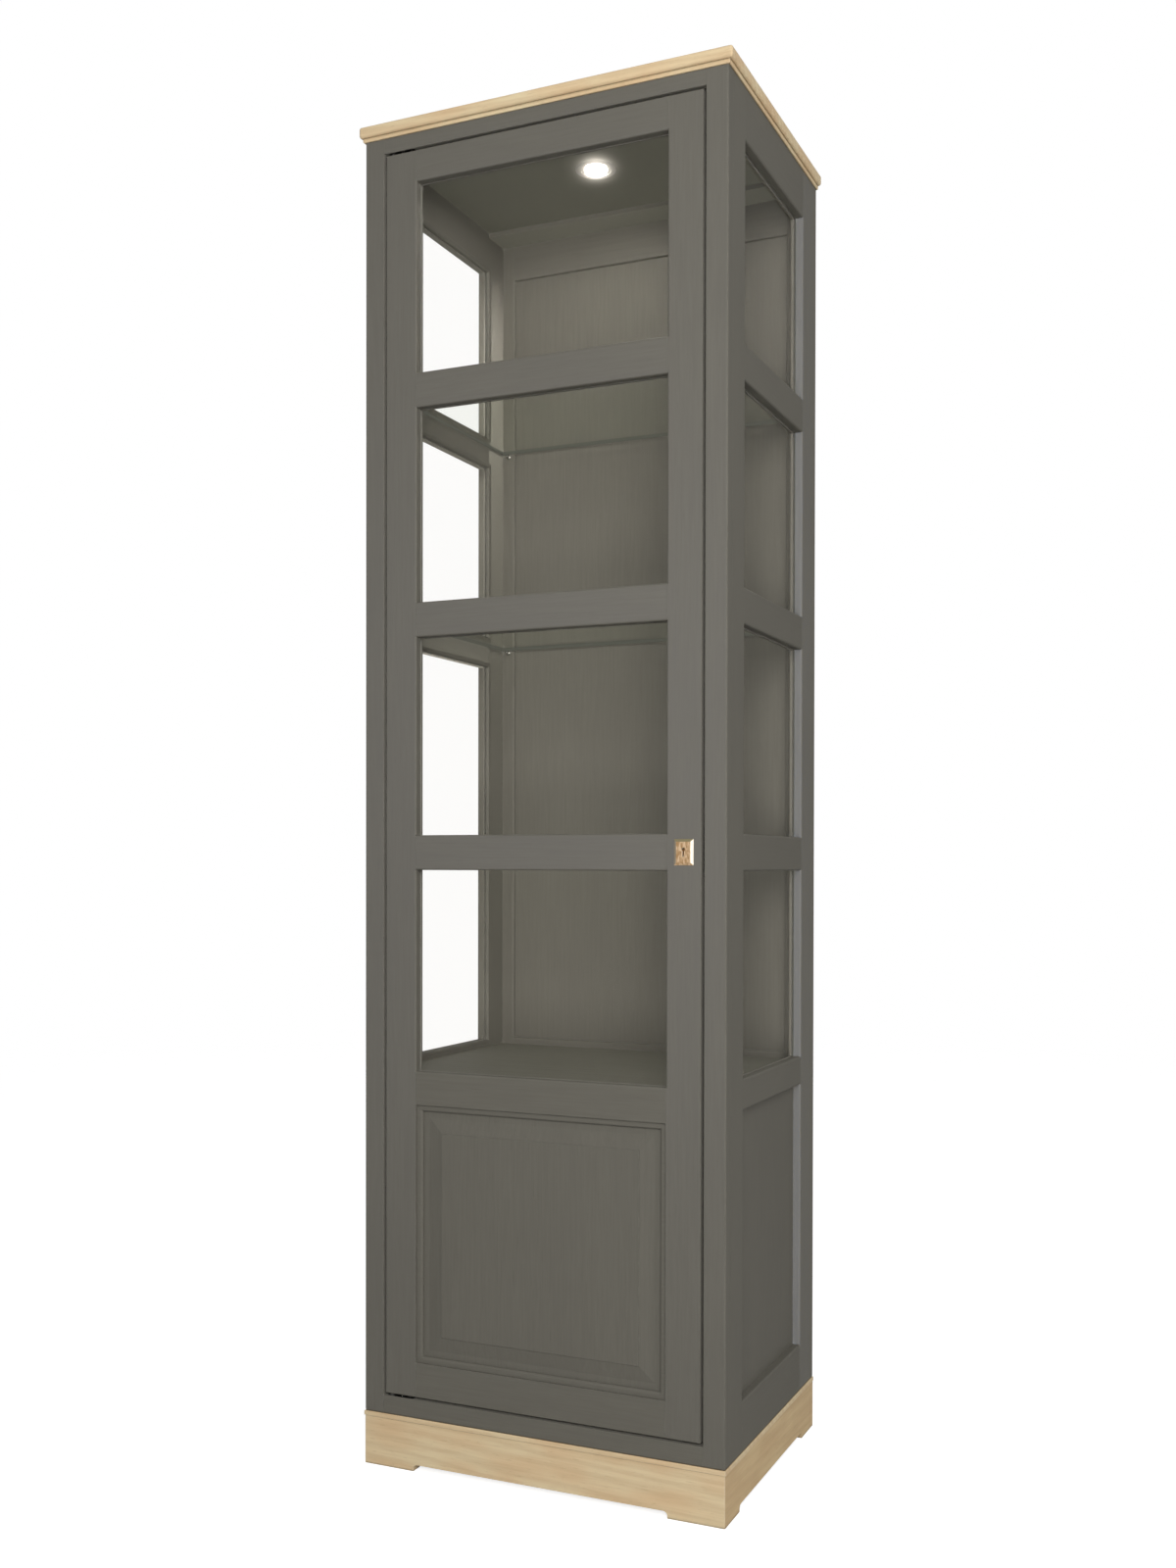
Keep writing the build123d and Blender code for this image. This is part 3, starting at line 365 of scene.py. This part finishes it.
def clear_glass(name, body, mirror_share, thin):
    """Float glass that reflects at a slant, with a little dust and a painted glow on its edges for the
    light that runs to them inside it.
    """
    made = bpy.data.materials.new(name)
    made.use_nodes = True
    tree = made.node_tree
    tree.nodes.clear()
    place = surface_place(tree)
    haze = noise(tree, place, scale=7.0, detail=4.0, roughness=0.6)
    through = add(tree, "ShaderNodeBsdfTransparent", {"Color": body})
    share = mirrored_share(tree, mirror_share)
    glazed = mix_shaders(tree, share, through, mirror_of(tree, place, haze))
    dust = add(tree, "ShaderNodeBsdfDiffuse", {"Color": GLASS_DUST})
    pane = mix_shaders(tree, spread(tree, haze, low=0.45, high=0.85, to_high=0.003), glazed, dust)
    across = maths(tree, "ABSOLUTE", facing(tree)[thin])
    on_edge = maths(tree, "LESS_THAN", across, FACES_ACROSS)
    whole = mix_shaders(tree, on_edge, pane, glass_edge(tree))
    add(tree, "ShaderNodeOutputMaterial", {"Surface": whole.outputs[0]})
    return made


# Metal and plastic

METAL_EDGE = 0.35 * MM
METAL_RELIEF = 0.02 * MM
METAL_DULLS = 0.16


def metal(name, light, dark, roughness, along, spots=0.2, wear=0.5, bare=1.0):
    """Metal with fine brush lines, faint spots and brighter edges, bare or partly under lacquer."""
    made, tree, shader = new_finish(name, {"Metallic": bare})
    place = surface_place(tree)
    lines = noise(tree, along_grain(tree, place, along, stretch=30.0), scale=2600.0, detail=3.0)
    clouds = noise(tree, place, scale=140.0, detail=4.0, roughness=0.6)
    rounded = rounded_edges(tree, METAL_EDGE)
    on_edge = maths(tree, "MULTIPLY", edges_of(tree, rounded), wear)
    colour = mix_colours(tree, spread(tree, lines, low=0.3, high=0.7), light, dark)
    colour = mix_colours(tree, spread(tree, clouds, low=0.5, high=0.8, to_high=spots), colour, dark)
    colour = mix_colours(tree, on_edge, colour, light)
    duller = roughness + METAL_DULLS
    sockets = {
        "Base Color": colour,
        "Roughness": spread(tree, clouds, low=0.3, high=0.8, to_low=roughness, to_high=duller),
        "Normal": relief(tree, lines, METAL_RELIEF, strength=0.4, normal=rounded),
    }
    feed(tree, shader, sockets)
    return made


PLATE_LIGHT = tint(238, 206, 166)
PLATE_DEEP = tint(190, 148, 102)
# Painted highlight and painted shade for the bevels, by the way each faces
PLATE_RIGHT_HIGHLIGHT = tint(255, 244, 222)
PLATE_TOP_SHADE = tint(134, 124, 90)
PLATE_LEFT_SHADE = tint(176, 164, 142)
BEVEL_STARTS, BEVEL_FULL = 0.15, 0.4


def plate_metal(name):
    """Worn polished plate, streaked on its face, with a painted highlight on its right bevel and painted
    shade on its top and left bevels.
    """
    made = metal(name, PLATE_LIGHT, PLATE_DEEP, roughness=0.3, along=UPRIGHT,
                 spots=0.05, wear=0.4, bare=0.35)
    tree = made.node_tree
    drawn_out = along_grain(tree, surface_place(tree), UPRIGHT, stretch=3.0)
    streaks = noise(tree, drawn_out, scale=330.0, detail=2.0, roughness=0.5, distortion=0.6)
    sides = facing(tree)
    colour = mix_colours(tree, spread(tree, streaks, low=0.36, high=0.62), PLATE_LIGHT, PLATE_DEEP)
    # Painted highlight on the bevel facing right, painted shade on the ones facing up and left
    colour = mix_colours(tree, spread(tree, sides["X"], BEVEL_STARTS, BEVEL_FULL), colour, PLATE_RIGHT_HIGHLIGHT)
    colour = mix_colours(tree, spread(tree, sides["Z"], BEVEL_STARTS, BEVEL_FULL), colour, PLATE_TOP_SHADE)
    colour = mix_colours(tree, spread(tree, sides["X"], -BEVEL_STARTS, -BEVEL_FULL), colour, PLATE_LEFT_SHADE)
    feed(tree, tree.nodes["Principled BSDF"], {"Base Color": colour})
    return made


PLASTIC_EDGE = 0.4 * MM
PLASTIC_EDGE_SHOWS = 0.3
PLASTIC_RELIEF = 0.05 * MM
ROUGHNESS_VARIES = 0.06


def plastic(name, light, dark, roughness, grain):
    """Moulded plastic or rubber with a fine eroded texture."""
    made, tree, shader = new_finish(name, {"Specular IOR Level": 0.4})
    place = surface_place(tree)
    texture = noise(tree, place, grain, detail=3.0, roughness=0.6)
    clouds = noise(tree, place, scale=30.0, detail=3.0)
    rounded = rounded_edges(tree, PLASTIC_EDGE)
    on_edge = maths(tree, "MULTIPLY", edges_of(tree, rounded), PLASTIC_EDGE_SHOWS)
    colour = mix_colours(tree, spread(tree, clouds, low=0.3, high=0.7), light, dark)
    colour = mix_colours(tree, on_edge, colour, light)
    smoother = roughness - ROUGHNESS_VARIES
    rougher = roughness + ROUGHNESS_VARIES
    sockets = {
        "Base Color": colour,
        "Roughness": spread(tree, texture, low=0.3, high=0.7, to_low=smoother, to_high=rougher),
        "Normal": relief(tree, texture, PLASTIC_RELIEF, strength=0.4, normal=rounded),
    }
    feed(tree, shader, sockets)
    return made


# The lamp and its painted glow

LAMP_WARM = tint(255, 246, 232)
LAMP_HOT = tint(255, 253, 249)
OPAL_LIGHT = tint(142, 140, 134)
OPAL_DARK = tint(128, 126, 120)
LAMP_CORE = 225.0
CORE_FROM, CORE_TO = 8.0 * MM, 19.5 * MM
WARM_TO = 22.0 * MM
# Strength and reach of the painted glow round the lamp
PAINTED_HALO_STRENGTH = 15.0
HALO_REACH = 6.7 * MM


def painted_halo(tree):
    """The lamp's glow, painted as emission on itself and round it on the bezel and ceiling, which reaches
    farther along its long axis.
    """
    fading = maths(tree, "DIVIDE", far_from_lamp(tree), -HALO_REACH)
    return maths(tree, "MULTIPLY", maths(tree, "EXPONENT", fading), PAINTED_HALO_STRENGTH)


def lit_diffuser(name):
    """Opal plastic lit from behind, hottest in the middle."""
    made, tree, shader = new_finish(name, {"Roughness": 0.5, "Specular IOR Level": 0.3})
    far = far_from_lamp(tree)
    grain = noise(tree, surface_place(tree), scale=900.0, detail=2.0)
    core = spread(tree, far, CORE_FROM, CORE_TO, LAMP_CORE, 0.0)
    sockets = {
        "Base Color": mix_colours(tree, spread(tree, grain, low=0.3, high=0.7), OPAL_LIGHT, OPAL_DARK),
        "Emission Color": mix_colours(tree, spread(tree, far, CORE_FROM, WARM_TO), LAMP_HOT, LAMP_WARM),
        "Emission Strength": maths(tree, "ADD", core, painted_halo(tree)),
        "Normal": relief(tree, grain, PLASTIC_RELIEF, strength=0.4),
    }
    feed(tree, shader, sockets)
    return made


def with_painted_glow(made):
    """Paints the lamp's glow onto a finish as emission, a painted pool of light on a part that is no lamp.
    """
    shader = made.node_tree.nodes["Principled BSDF"]
    shader.inputs["Emission Color"].default_value = LAMP_WARM
    feed(made.node_tree, shader, {"Emission Strength": painted_halo(made.node_tree)})
    return made


# Fittings that repeat, made by geometry nodes and kept as plain meshes

def tree_with_inputs(name, sizes):
    """A geometry tree with an input for the places, one for each size and one for the finish."""
    tree = bpy.data.node_groups.new(name, "GeometryNodeTree")
    tree.interface.new_socket("Places", in_out="INPUT", socket_type="NodeSocketGeometry")
    for size, value in sizes.items():
        made = tree.interface.new_socket(size, in_out="INPUT", socket_type="NodeSocketFloat")
        made.default_value = value
    tree.interface.new_socket("Finish", in_out="INPUT", socket_type="NodeSocketMaterial")
    tree.interface.new_socket("Geometry", in_out="OUTPUT", socket_type="NodeSocketGeometry")
    return tree, add(tree, "NodeGroupInput").outputs


def turned(tree, sides, radius_low, radius_high, length, start):
    """A closed turned length from a height upwards."""
    inputs = {"Vertices": sides, "Radius Top": radius_high, "Radius Bottom": radius_low, "Depth": length}
    cone = add(tree, "GeometryNodeMeshCone", inputs).outputs["Mesh"]
    rise = add(tree, "ShaderNodeCombineXYZ", {"Z": start}).outputs[0]
    return add(tree, "GeometryNodeTransform", {"Geometry": cone, "Translation": rise}).outputs[0]


def joined(tree, parts):
    """The parts made one closed solid."""
    whole = add(tree, "GeometryNodeMeshBoolean", operation="UNION", solver="EXACT")
    for part in parts:
        tree.links.new(part, whole.inputs["Mesh 2"])
    return whole.outputs[0]


def cut_by(tree, piece, cutter):
    """The piece without what the cutter takes away."""
    inputs = {"Mesh 1": piece}
    cut = add(tree, "GeometryNodeMeshBoolean", inputs, operation="DIFFERENCE", solver="EXACT")
    tree.links.new(cutter, cut.inputs["Mesh 2"])
    return cut.outputs[0]


def finish_tree(tree, inputs, piece):
    """Sets the piece on each place, turned the way it points, as real geometry with its finish."""
    way = add(tree, "GeometryNodeInputNamedAttribute", {"Name": "way"}, data_type="FLOAT_VECTOR").outputs[0]
    turn = add(tree, "FunctionNodeAlignRotationToVector", {"Vector": way}, axis="Z").outputs[0]
    setting = {"Points": inputs["Places"], "Instance": piece, "Rotation": turn}
    placed = add(tree, "GeometryNodeInstanceOnPoints", setting).outputs[0]
    real = add(tree, "GeometryNodeRealizeInstances", {"Geometry": placed}).outputs[0]
    done = add(tree, "GeometryNodeSetMaterial", {"Geometry": real, "Material": inputs["Finish"]}).outputs[0]
    add(tree, "NodeGroupOutput", {"Geometry": done})
    return tree


SCREW_SIDES = 28
SCREW_TIP_SHARE = 0.4


def screw_tree():
    """A countersunk screw, driven down its own Z from its head's top, with a cross recess."""
    sizes = {"Head Radius": 3.0 * MM, "Head": 1.5 * MM, "Shank Radius": 1.5 * MM, "Length": 13.9 * MM,
             "Recess": 0.75 * MM, "Recess Length": 3.4 * MM, "Recess Depth": 2.2 * MM}
    tree, inputs = tree_with_inputs("screws", sizes)
    shank_radius, head = inputs["Shank Radius"], inputs["Head"]
    tip_radius = maths(tree, "MULTIPLY", shank_radius, SCREW_TIP_SHARE)
    shank_length = maths(tree, "SUBTRACT", inputs["Length"], head)
    cone = turned(tree, SCREW_SIDES, inputs["Head Radius"], shank_radius, head, 0.0)
    shank = turned(tree, SCREW_SIDES, shank_radius, tip_radius, shank_length, head)
    screw = joined(tree, (cone, shank))
    for wide, long in (("Recess", "Recess Length"), ("Recess Length", "Recess")):
        bar_sizes = {"X": inputs[wide], "Y": inputs[long], "Z": inputs["Recess Depth"]}
        bar_size = add(tree, "ShaderNodeCombineXYZ", bar_sizes).outputs[0]
        bar = add(tree, "GeometryNodeMeshCube", {"Size": bar_size}).outputs["Mesh"]
        screw = cut_by(tree, screw, bar)
    return finish_tree(tree, inputs, screw)


PIN_SIDES = 32


def support_tree():
    """A shelf pin, from its hidden end out along its own Z: pin, rounded collar, pin with a soft tip."""
    sizes = {"Pin Radius": 2.5 * MM, "Hidden": 8.0 * MM, "Collar Radius": 4.5 * MM, "Collar": 1.5 * MM,
             "Reach": 12.0 * MM, "Tip": 0.8 * MM}
    tree, inputs = tree_with_inputs("shelf_pins", sizes)
    pin, collar, tip, hidden = (inputs[size] for size in ("Pin Radius", "Collar Radius", "Tip", "Hidden"))
    outer = maths(tree, "SUBTRACT", inputs["Reach"], tip)
    shaft_length = maths(tree, "ADD", hidden, outer)
    half = maths(tree, "MULTIPLY", inputs["Collar"], 0.5)
    shaft = turned(tree, PIN_SIDES, pin, pin, shaft_length, 0.0)
    end = turned(tree, PIN_SIDES, pin, maths(tree, "SUBTRACT", pin, tip), tip, shaft_length)
    ring = turned(tree, PIN_SIDES, collar, collar, half, hidden)
    slope_top = maths(tree, "SUBTRACT", collar, half)
    slope = turned(tree, PIN_SIDES, collar, slope_top, half, maths(tree, "ADD", hidden, half))
    return finish_tree(tree, inputs, joined(tree, (shaft, end, ring, slope)))


def placed_pieces(name, tree, places, finish):
    """The tree's pieces at the places, each with the way it points, as one plain mesh."""
    points = bpy.data.meshes.new(name + "_places")
    points.from_pydata([place for place, way in places], [], [])
    ways = points.attributes.new("way", "FLOAT_VECTOR", "POINT")
    for entry, (place, way) in zip(ways.data, places):
        entry.vector = way
    made = bpy.data.objects.new(name, points)
    bpy.context.scene.collection.objects.link(made)
    modifier = made.modifiers.new("fittings", "NODES")
    modifier.node_group = tree
    for item in tree.interface.items_tree:
        if item.name == "Finish":
            modifier[item.identifier] = finish
    bpy.context.view_layer.update()
    evaluated = made.evaluated_get(bpy.context.evaluated_depsgraph_get())
    mesh = bpy.data.meshes.new_from_object(evaluated)
    made.modifiers.clear()
    made.data = mesh
    mesh.name = name
    for face in mesh.polygons:
        face.use_smooth = False
    return made


UP = (0.0, 0.0, 1.0)
DOWN = (0.0, 0.0, -1.0)
RIGHTWARDS = (1.0, 0.0, 0.0)
LEFTWARDS = (-1.0, 0.0, 0.0)
FORWARDS = (0.0, -1.0, 0.0)

# Where the fittings sit, in metres
LEAF_SCREWS_X = (-0.236, -0.222)
PIVOT_Y = -0.213
DOORWAY_LOW, DOORWAY_HIGH = 0.112, 2.054
DOOR_LOW, DOOR_HIGH = 0.116, 2.050
STRIKE_X, STRIKE_Y = 0.266, -0.2066
STRIKE_SCREWS_Z = (0.948, 0.980)
COVER_SCREWS_X = (0.22819, 0.2475)
COVER_SCREWS_Z = (0.9345, 0.9935)
COVER_Y = -0.199
SHELF_PINS_Z = (0.9685, 1.3295, 1.6845)
SIDE_PINS_X, SIDE_PINS_Y = 0.286, -0.1715
BACK_PINS_X, BACK_PINS_Y = 0.2665, 0.215


def cabinet_screw_places():
    """The screws of the pivots' leaves in the doorway and of the strike."""
    places = [((x, PIVOT_Y, DOORWAY_HIGH), UP) for x in LEAF_SCREWS_X]
    places += [((x, PIVOT_Y, DOORWAY_LOW), DOWN) for x in LEAF_SCREWS_X]
    return places + [((STRIKE_X, STRIKE_Y, z), RIGHTWARDS) for z in STRIKE_SCREWS_Z]


def door_screw_places():
    """The screws of the pivots' leaves in the door and of the lock's cover."""
    places = [((x, PIVOT_Y, DOOR_HIGH), DOWN) for x in LEAF_SCREWS_X]
    places += [((x, PIVOT_Y, DOOR_LOW), UP) for x in LEAF_SCREWS_X]
    return places + [((x, COVER_Y, z), FORWARDS) for x in COVER_SCREWS_X for z in COVER_SCREWS_Z]


def shelf_pin_places():
    """Two pins in the sides and two in the back under each shelf."""
    places = []
    for z in SHELF_PINS_Z:
        places.append(((-SIDE_PINS_X, SIDE_PINS_Y, z), RIGHTWARDS))
        places.append(((SIDE_PINS_X, SIDE_PINS_Y, z), LEFTWARDS))
        places += [((x, BACK_PINS_Y, z), FORWARDS) for x in (-BACK_PINS_X, BACK_PINS_X)]
    return places


def fit(name, tree, places, finish, body, node):
    """Puts the fittings on their body in the place of the plain ones."""
    piece = placed_pieces(name, tree, places, finish)
    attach(piece, body)
    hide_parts(node)


# Room

FLOOR_GREY = tint(200, 200, 200)
FLOOR_LIFT = 0.80
FLOOR_RADIUS = 7.0
FLOOR_SIDES = 96
FADE_FROM, FADE_TO = 2.2, 6.0


def floor_finish():
    """A plain pale floor that fades into the background away from the cabinet."""
    inputs = {"Base Color": FLOOR_GREY, "Roughness": 0.9, "Specular IOR Level": 0.1}
    made, tree, shader = new_finish("pale_floor", inputs)
    far = add(tree, "ShaderNodeVectorMath", {0: surface_place(tree)}, operation="LENGTH").outputs["Value"]
    path = add(tree, "ShaderNodeLightPath").outputs
    seen = maths(tree, "MAXIMUM", path["Is Camera Ray"], path["Is Transmission Ray"])
    feed(tree, shader, {"Emission Strength": maths(tree, "MULTIPLY", seen, FLOOR_LIFT)})
    clear = add(tree, "ShaderNodeBsdfTransparent")
    both = mix_shaders(tree, spread(tree, far, FADE_FROM, FADE_TO), shader, clear)
    tree.links.new(both.outputs[0], tree.nodes["Material Output"].inputs["Surface"])
    return made


def floor():
    """The floor under the cabinet."""
    bpy.ops.mesh.primitive_circle_add(vertices=FLOOR_SIDES, radius=FLOOR_RADIUS, fill_type="NGON")
    made = bpy.context.active_object
    made.name = "floor"
    made.data.materials.append(floor_finish())


AMBIENT_TINT = tint(252, 253, 255)
AMBIENT = 0.36
WALLS = 0.2

# How steeply a mirrored direction rises where the walls end and where the white ceiling is full
WALLS_TO, CEILING_FROM = 0.25, 0.85


def surroundings():
    """A pale room, white where it is looked at, whose walls mirror dimly under a white ceiling."""
    world = bpy.data.worlds.new("room")
    bpy.context.scene.world = world
    world.use_nodes = True
    tree = world.node_tree
    tree.nodes.clear()
    path = add(tree, "ShaderNodeLightPath").outputs
    up = add(tree, "ShaderNodeSeparateXYZ", {0: surface_place(tree)}).outputs["Z"]
    mirrored = spread(tree, up, WALLS_TO, CEILING_FROM, WALLS, 1.0)
    looked_at = maths(tree, "MAXIMUM", path["Is Camera Ray"], path["Is Transmission Ray"])
    light = add(tree, "ShaderNodeBackground", {"Color": AMBIENT_TINT, "Strength": AMBIENT})
    white = add(tree, "ShaderNodeBackground", {"Color": WHITE, "Strength": 1.0})
    reflected = add(tree, "ShaderNodeBackground", {"Color": WHITE, "Strength": mirrored})
    both = mix_shaders(tree, looked_at, light, white)
    whole = mix_shaders(tree, path["Is Glossy Ray"], both, reflected)
    add(tree, "ShaderNodeOutputWorld", {"Surface": whole.outputs[0]})


# Lamps, and the pieces that some of them are kept to

INSIDE = ("back_panel_upper", "back_panel_lower", "back_stiles", "back_rails", "ceiling_rear_rail",
          "base_board", "left_side_front_stile", "left_side_rear_stile", "left_side_rails",
          "left_side_panel", "right_side_rear_stile", "side_beads")
CEILING = ("ceiling_panel", "ceiling_rear_rail", "left_side_rails")
UNDER_LAMP = ("vitrine_floor", "left_side_rear_stile")
WITH_SHEEN = ("door_stile_left", "door_stile_right", "face_stile_left", "face_stile_right",
              "door_rail_top", "door_glazing_rails", "face_rail_top")
COOL_EDGE = ("right_side_rear_stile",)
BEHIND = ("back_panel_upper", "back_panel_lower", "back_stiles", "back_rails", "left_side_panel",
          "left_side_rear_stile", "left_side_front_stile", "left_side_rails", "plinth_back",
          "plinth_sides", "plinth_moulding", "top_board", "top_underboard", "cable_grommet")
WINDOW_BLUE = (0.76, 0.76, 1.0)
COOL_BLUE = (0.1, 0.3, 1.0)


def soft_lamp(name, place, towards, size, power, colour=(1.0, 1.0, 1.0)):
    """A square soft lamp that points at a place."""
    light = bpy.data.lights.new(name, "AREA")
    light.size = size
    light.energy = power
    light.color = colour
    made = bpy.data.objects.new(name, light)
    made.location = place
    made.visible_camera = False
    made.rotation_euler = (Vector(towards) - Vector(place)).to_track_quat("-Z", "Y").to_euler()
    bpy.context.scene.collection.objects.link(made)
    return made


def light_only(lamp, pieces, sheen=False):
    """Lets a lamp reach only the named pieces, as a mere sheen on them or as light without one."""
    lit = bpy.data.collections.new(lamp.name)
    for piece in pieces:
        lit.objects.link(nodes[piece])
    lamp.light_linking.receiver_collection = lit
    lamp.visible_glossy = sheen
    lamp.visible_diffuse = not sheen


def room_lamps():
    """A large soft lamp in front on the right, and a weaker one farther round."""
    soft_lamp("front_lamp", (1.4, -2.7, 1.75), towards=(0.0, 0.0, 1.2), size=1.4, power=57.5)
    soft_lamp("side_lamp", (4.6, -1.4, 1.6), towards=(0.0, 0.0, 1.15), size=2.6, power=30.0)


def inside_lamps():
    """Light that the room and the cabinet's own lamp throw about inside."""
    inside = soft_lamp("inside_lamp", (1.2, -3.2, 0.4), towards=(0.0, 0.0, 1.5), size=1.2, power=71.0)
    upward = soft_lamp("upward_lamp", (-0.18, 0.0, 0.75), towards=(-0.18, 0.0, 2.0), size=0.4, power=7.9)
    downward = soft_lamp("downward_lamp", (0.0, 0.0, 2.0), towards=(0.0, 0.0, 0.6), size=0.2, power=4.5)
    light_only(inside, INSIDE)
    light_only(upward, CEILING)
    light_only(downward, UNDER_LAMP)


def cool_lamps():
    """A cool sheen on the front, as a window gives, and cool light on the right rear stile."""
    window = soft_lamp("window_lamp", (-0.95, -3.3, 1.3), towards=(0.0, 0.0, 1.1), size=0.7,
                       power=105.0, colour=WINDOW_BLUE)
    cool = soft_lamp("cool_lamp", (0.9, -3.6, 1.2), towards=(0.29, 0.18, 1.1), size=0.8,
                     power=44.0, colour=COOL_BLUE)
    light_only(window, WITH_SHEEN, sheen=True)
    light_only(cool, COOL_EDGE)


def rear_lamp():
    """Light on the back, the left side and the oak, so that they aren't dark from behind."""
    rear = soft_lamp("rear_lamp", (-2.4, 3.0, 1.7), towards=(0.0, 0.0, 1.1), size=2.0, power=45.0)
    light_only(rear, BEHIND)


def camera():
    """The photograph's camera."""
    data = bpy.data.cameras.new("camera")
    data.sensor_fit = "AUTO"
    data.sensor_width = FILM_HEIGHT
    data.lens = FOCAL_LENGTH / PICTURE_HEIGHT * FILM_HEIGHT
    data.shift_y = (OPTICAL_AXIS - PICTURE_HEIGHT / 2) / PICTURE_HEIGHT
    data.clip_end = FARTHEST_SEEN
    made = bpy.data.objects.new("camera", data)
    turn = Matrix.Rotation(radians(CAMERA_TURN), 4, "Z")
    tilt = Matrix.Rotation(radians(90 + CAMERA_TILT), 4, "X")
    roll = Matrix.Rotation(radians(CAMERA_ROLL), 4, "Z")
    made.matrix_world = Matrix.Translation(CAMERA_PLACE) @ turn @ tilt @ roll
    bpy.context.scene.collection.objects.link(made)
    bpy.context.scene.camera = made


# Which piece has which finish

ZINC_LIGHT, ZINC_DARK = tint(206, 205, 200), tint(168, 168, 166)
STEEL_LIGHT, STEEL_DARK = tint(96, 95, 92), tint(72, 71, 69)
NICKEL_LIGHT, NICKEL_DARK = tint(226, 224, 218), tint(198, 196, 190)
DRUM_LIGHT, DRUM_DARK = tint(186, 134, 82), tint(142, 98, 56)
RING_LIGHT, RING_DARK = tint(148, 146, 140), tint(136, 134, 128)
DRIVER_LIGHT, DRIVER_DARK = tint(232, 231, 226), tint(218, 217, 212)
RUBBER_LIGHT, RUBBER_DARK = tint(46, 46, 45), tint(34, 34, 34)


def give(names, finish):
    """Gives CAD nodes their finish."""
    for name in names:
        slots = nodes[name].material_slots
        for place in slots:
            place.material = finish
        if not slots:
            nodes[name].data.materials.append(finish)


def finish_woodwork():
    """Paint on the body and the door, with the grain running along each member, and oak above and below."""
    give(["door_stile_left", "door_stile_right", "face_stile_left", "face_stile_right", "back_stiles",
          "left_side_front_stile", "left_side_rear_stile", "right_side_front_stile",
          "right_side_rear_stile", "left_side_panel", "right_side_panel", "door_panel",
          "back_panel_upper", "back_panel_lower", "side_beads"], paint("taupe_paint_upright", UPRIGHT))
    give(["door_rail_top", "door_glazing_rails", "door_lock_rail", "door_rail_bottom",
          "door_panel_moulding", "face_rail_top", "face_rail_bottom", "back_rails", "ceiling_rear_rail",
          "door_stop", "vitrine_floor", "base_board", "door_beads"], paint("taupe_paint_across", SIDEWAYS))
    give(["left_side_rails", "right_side_rails"], paint("taupe_paint_deep", BACKWARDS))
    # The ceiling panel gets the lamp's painted glow round the lamp
    give(["ceiling_panel"], with_painted_glow(paint("taupe_paint_ceiling_painted_glow", SIDEWAYS)))
    give(["top_board", "top_underboard", "plinth_front", "plinth_back", "plinth_moulding"],
         oak("oak_across", SIDEWAYS, OAK_PALE, OAK_DEEP))
    # The plinth's sides get the darker copy of the oak, as painted shade
    give(["plinth_sides"], oak("oak_deep_painted_shade", BACKWARDS, OAK_SIDES_SHADED_PALE, OAK_SIDES_SHADED_DEEP))
    give(["plinth_corner_blocks"], softwood("softwood"))


def finish_glass():
    """Clear glass, with edges where each pane or shelf is thin."""
    give(["door_panes"], clear_glass("door_glass", GLASS_CLEAR, PANE_MIRROR, thin=BACKWARDS))
    side_glass = clear_glass("side_glass", GLASS_CLEAR, PANE_MIRROR, thin=SIDEWAYS)
    shelf_glass = clear_glass("shelf_glass", GLASS_SHELF, SHELF_MIRROR, thin=UPRIGHT)
    give(["left_side_panes", "right_side_panes"], side_glass)
    give(["shelf_upper", "shelf_middle", "shelf_lower"], shelf_glass)


def finish_fittings(nickel):
    """The lock, the pivots, the lamp and its small parts."""
    zinc = metal("zinc_plate", ZINC_LIGHT, ZINC_DARK, roughness=0.30, along=SIDEWAYS)
    steel = metal("dull_steel", STEEL_LIGHT, STEEL_DARK, roughness=0.42, along=SIDEWAYS)
    drum = metal("drum_metal", DRUM_LIGHT, DRUM_DARK, roughness=0.45, along=UPRIGHT, bare=0.3)
    ring = plastic("lamp_white", RING_LIGHT, RING_DARK, roughness=0.35, grain=1500.0)
    driver = plastic("driver_plastic", DRIVER_LIGHT, DRIVER_DARK, roughness=0.5, grain=1400.0)
    rubber = plastic("grommet_rubber", RUBBER_LIGHT, RUBBER_DARK, roughness=0.7, grain=900.0)
    give(["escutcheon"], plate_metal("plate_metal"))
    give(["lock_case", "lock_cover", "lock_bolt", "strike_plate"], zinc)
    give(["hinge_frame_leaves", "hinge_door_leaves"], steel)
    give(["lamp_housing"], nickel)
    give(["key_drum"], drum)
    # The bezel gets the lamp's painted glow
    give(["lamp_bezel"], with_painted_glow(ring))
    give(["lamp_lens"], lit_diffuser("lamp_diffuser"))
    give(["lamp_driver"], driver)
    give(["cable_grommet"], rubber)


def fit_small_parts(nickel):
    """The screws and the shelf pins."""
    screws = screw_tree()
    fit("frame_screws", screws, cabinet_screw_places(), nickel, "cabinet", "cabinet_screws")
    fit("door_fitting_screws", screws, door_screw_places(), nickel, "door", "door_screws")
    fit("shelf_pins", support_tree(), shelf_pin_places(), nickel, "cabinet", "shelf_supports")


finish_woodwork()
finish_glass()
nickel_plate = metal("nickel_plate", NICKEL_LIGHT, NICKEL_DARK, roughness=0.16, along=UPRIGHT)
finish_fittings(nickel_plate)
fit_small_parts(nickel_plate)

floor()
surroundings()
room_lamps()
inside_lamps()
cool_lamps()
rear_lamp()
camera()

scene = bpy.context.scene
scene.view_settings.view_transform = "Standard"
scene.cycles.transparent_max_bounces = 32
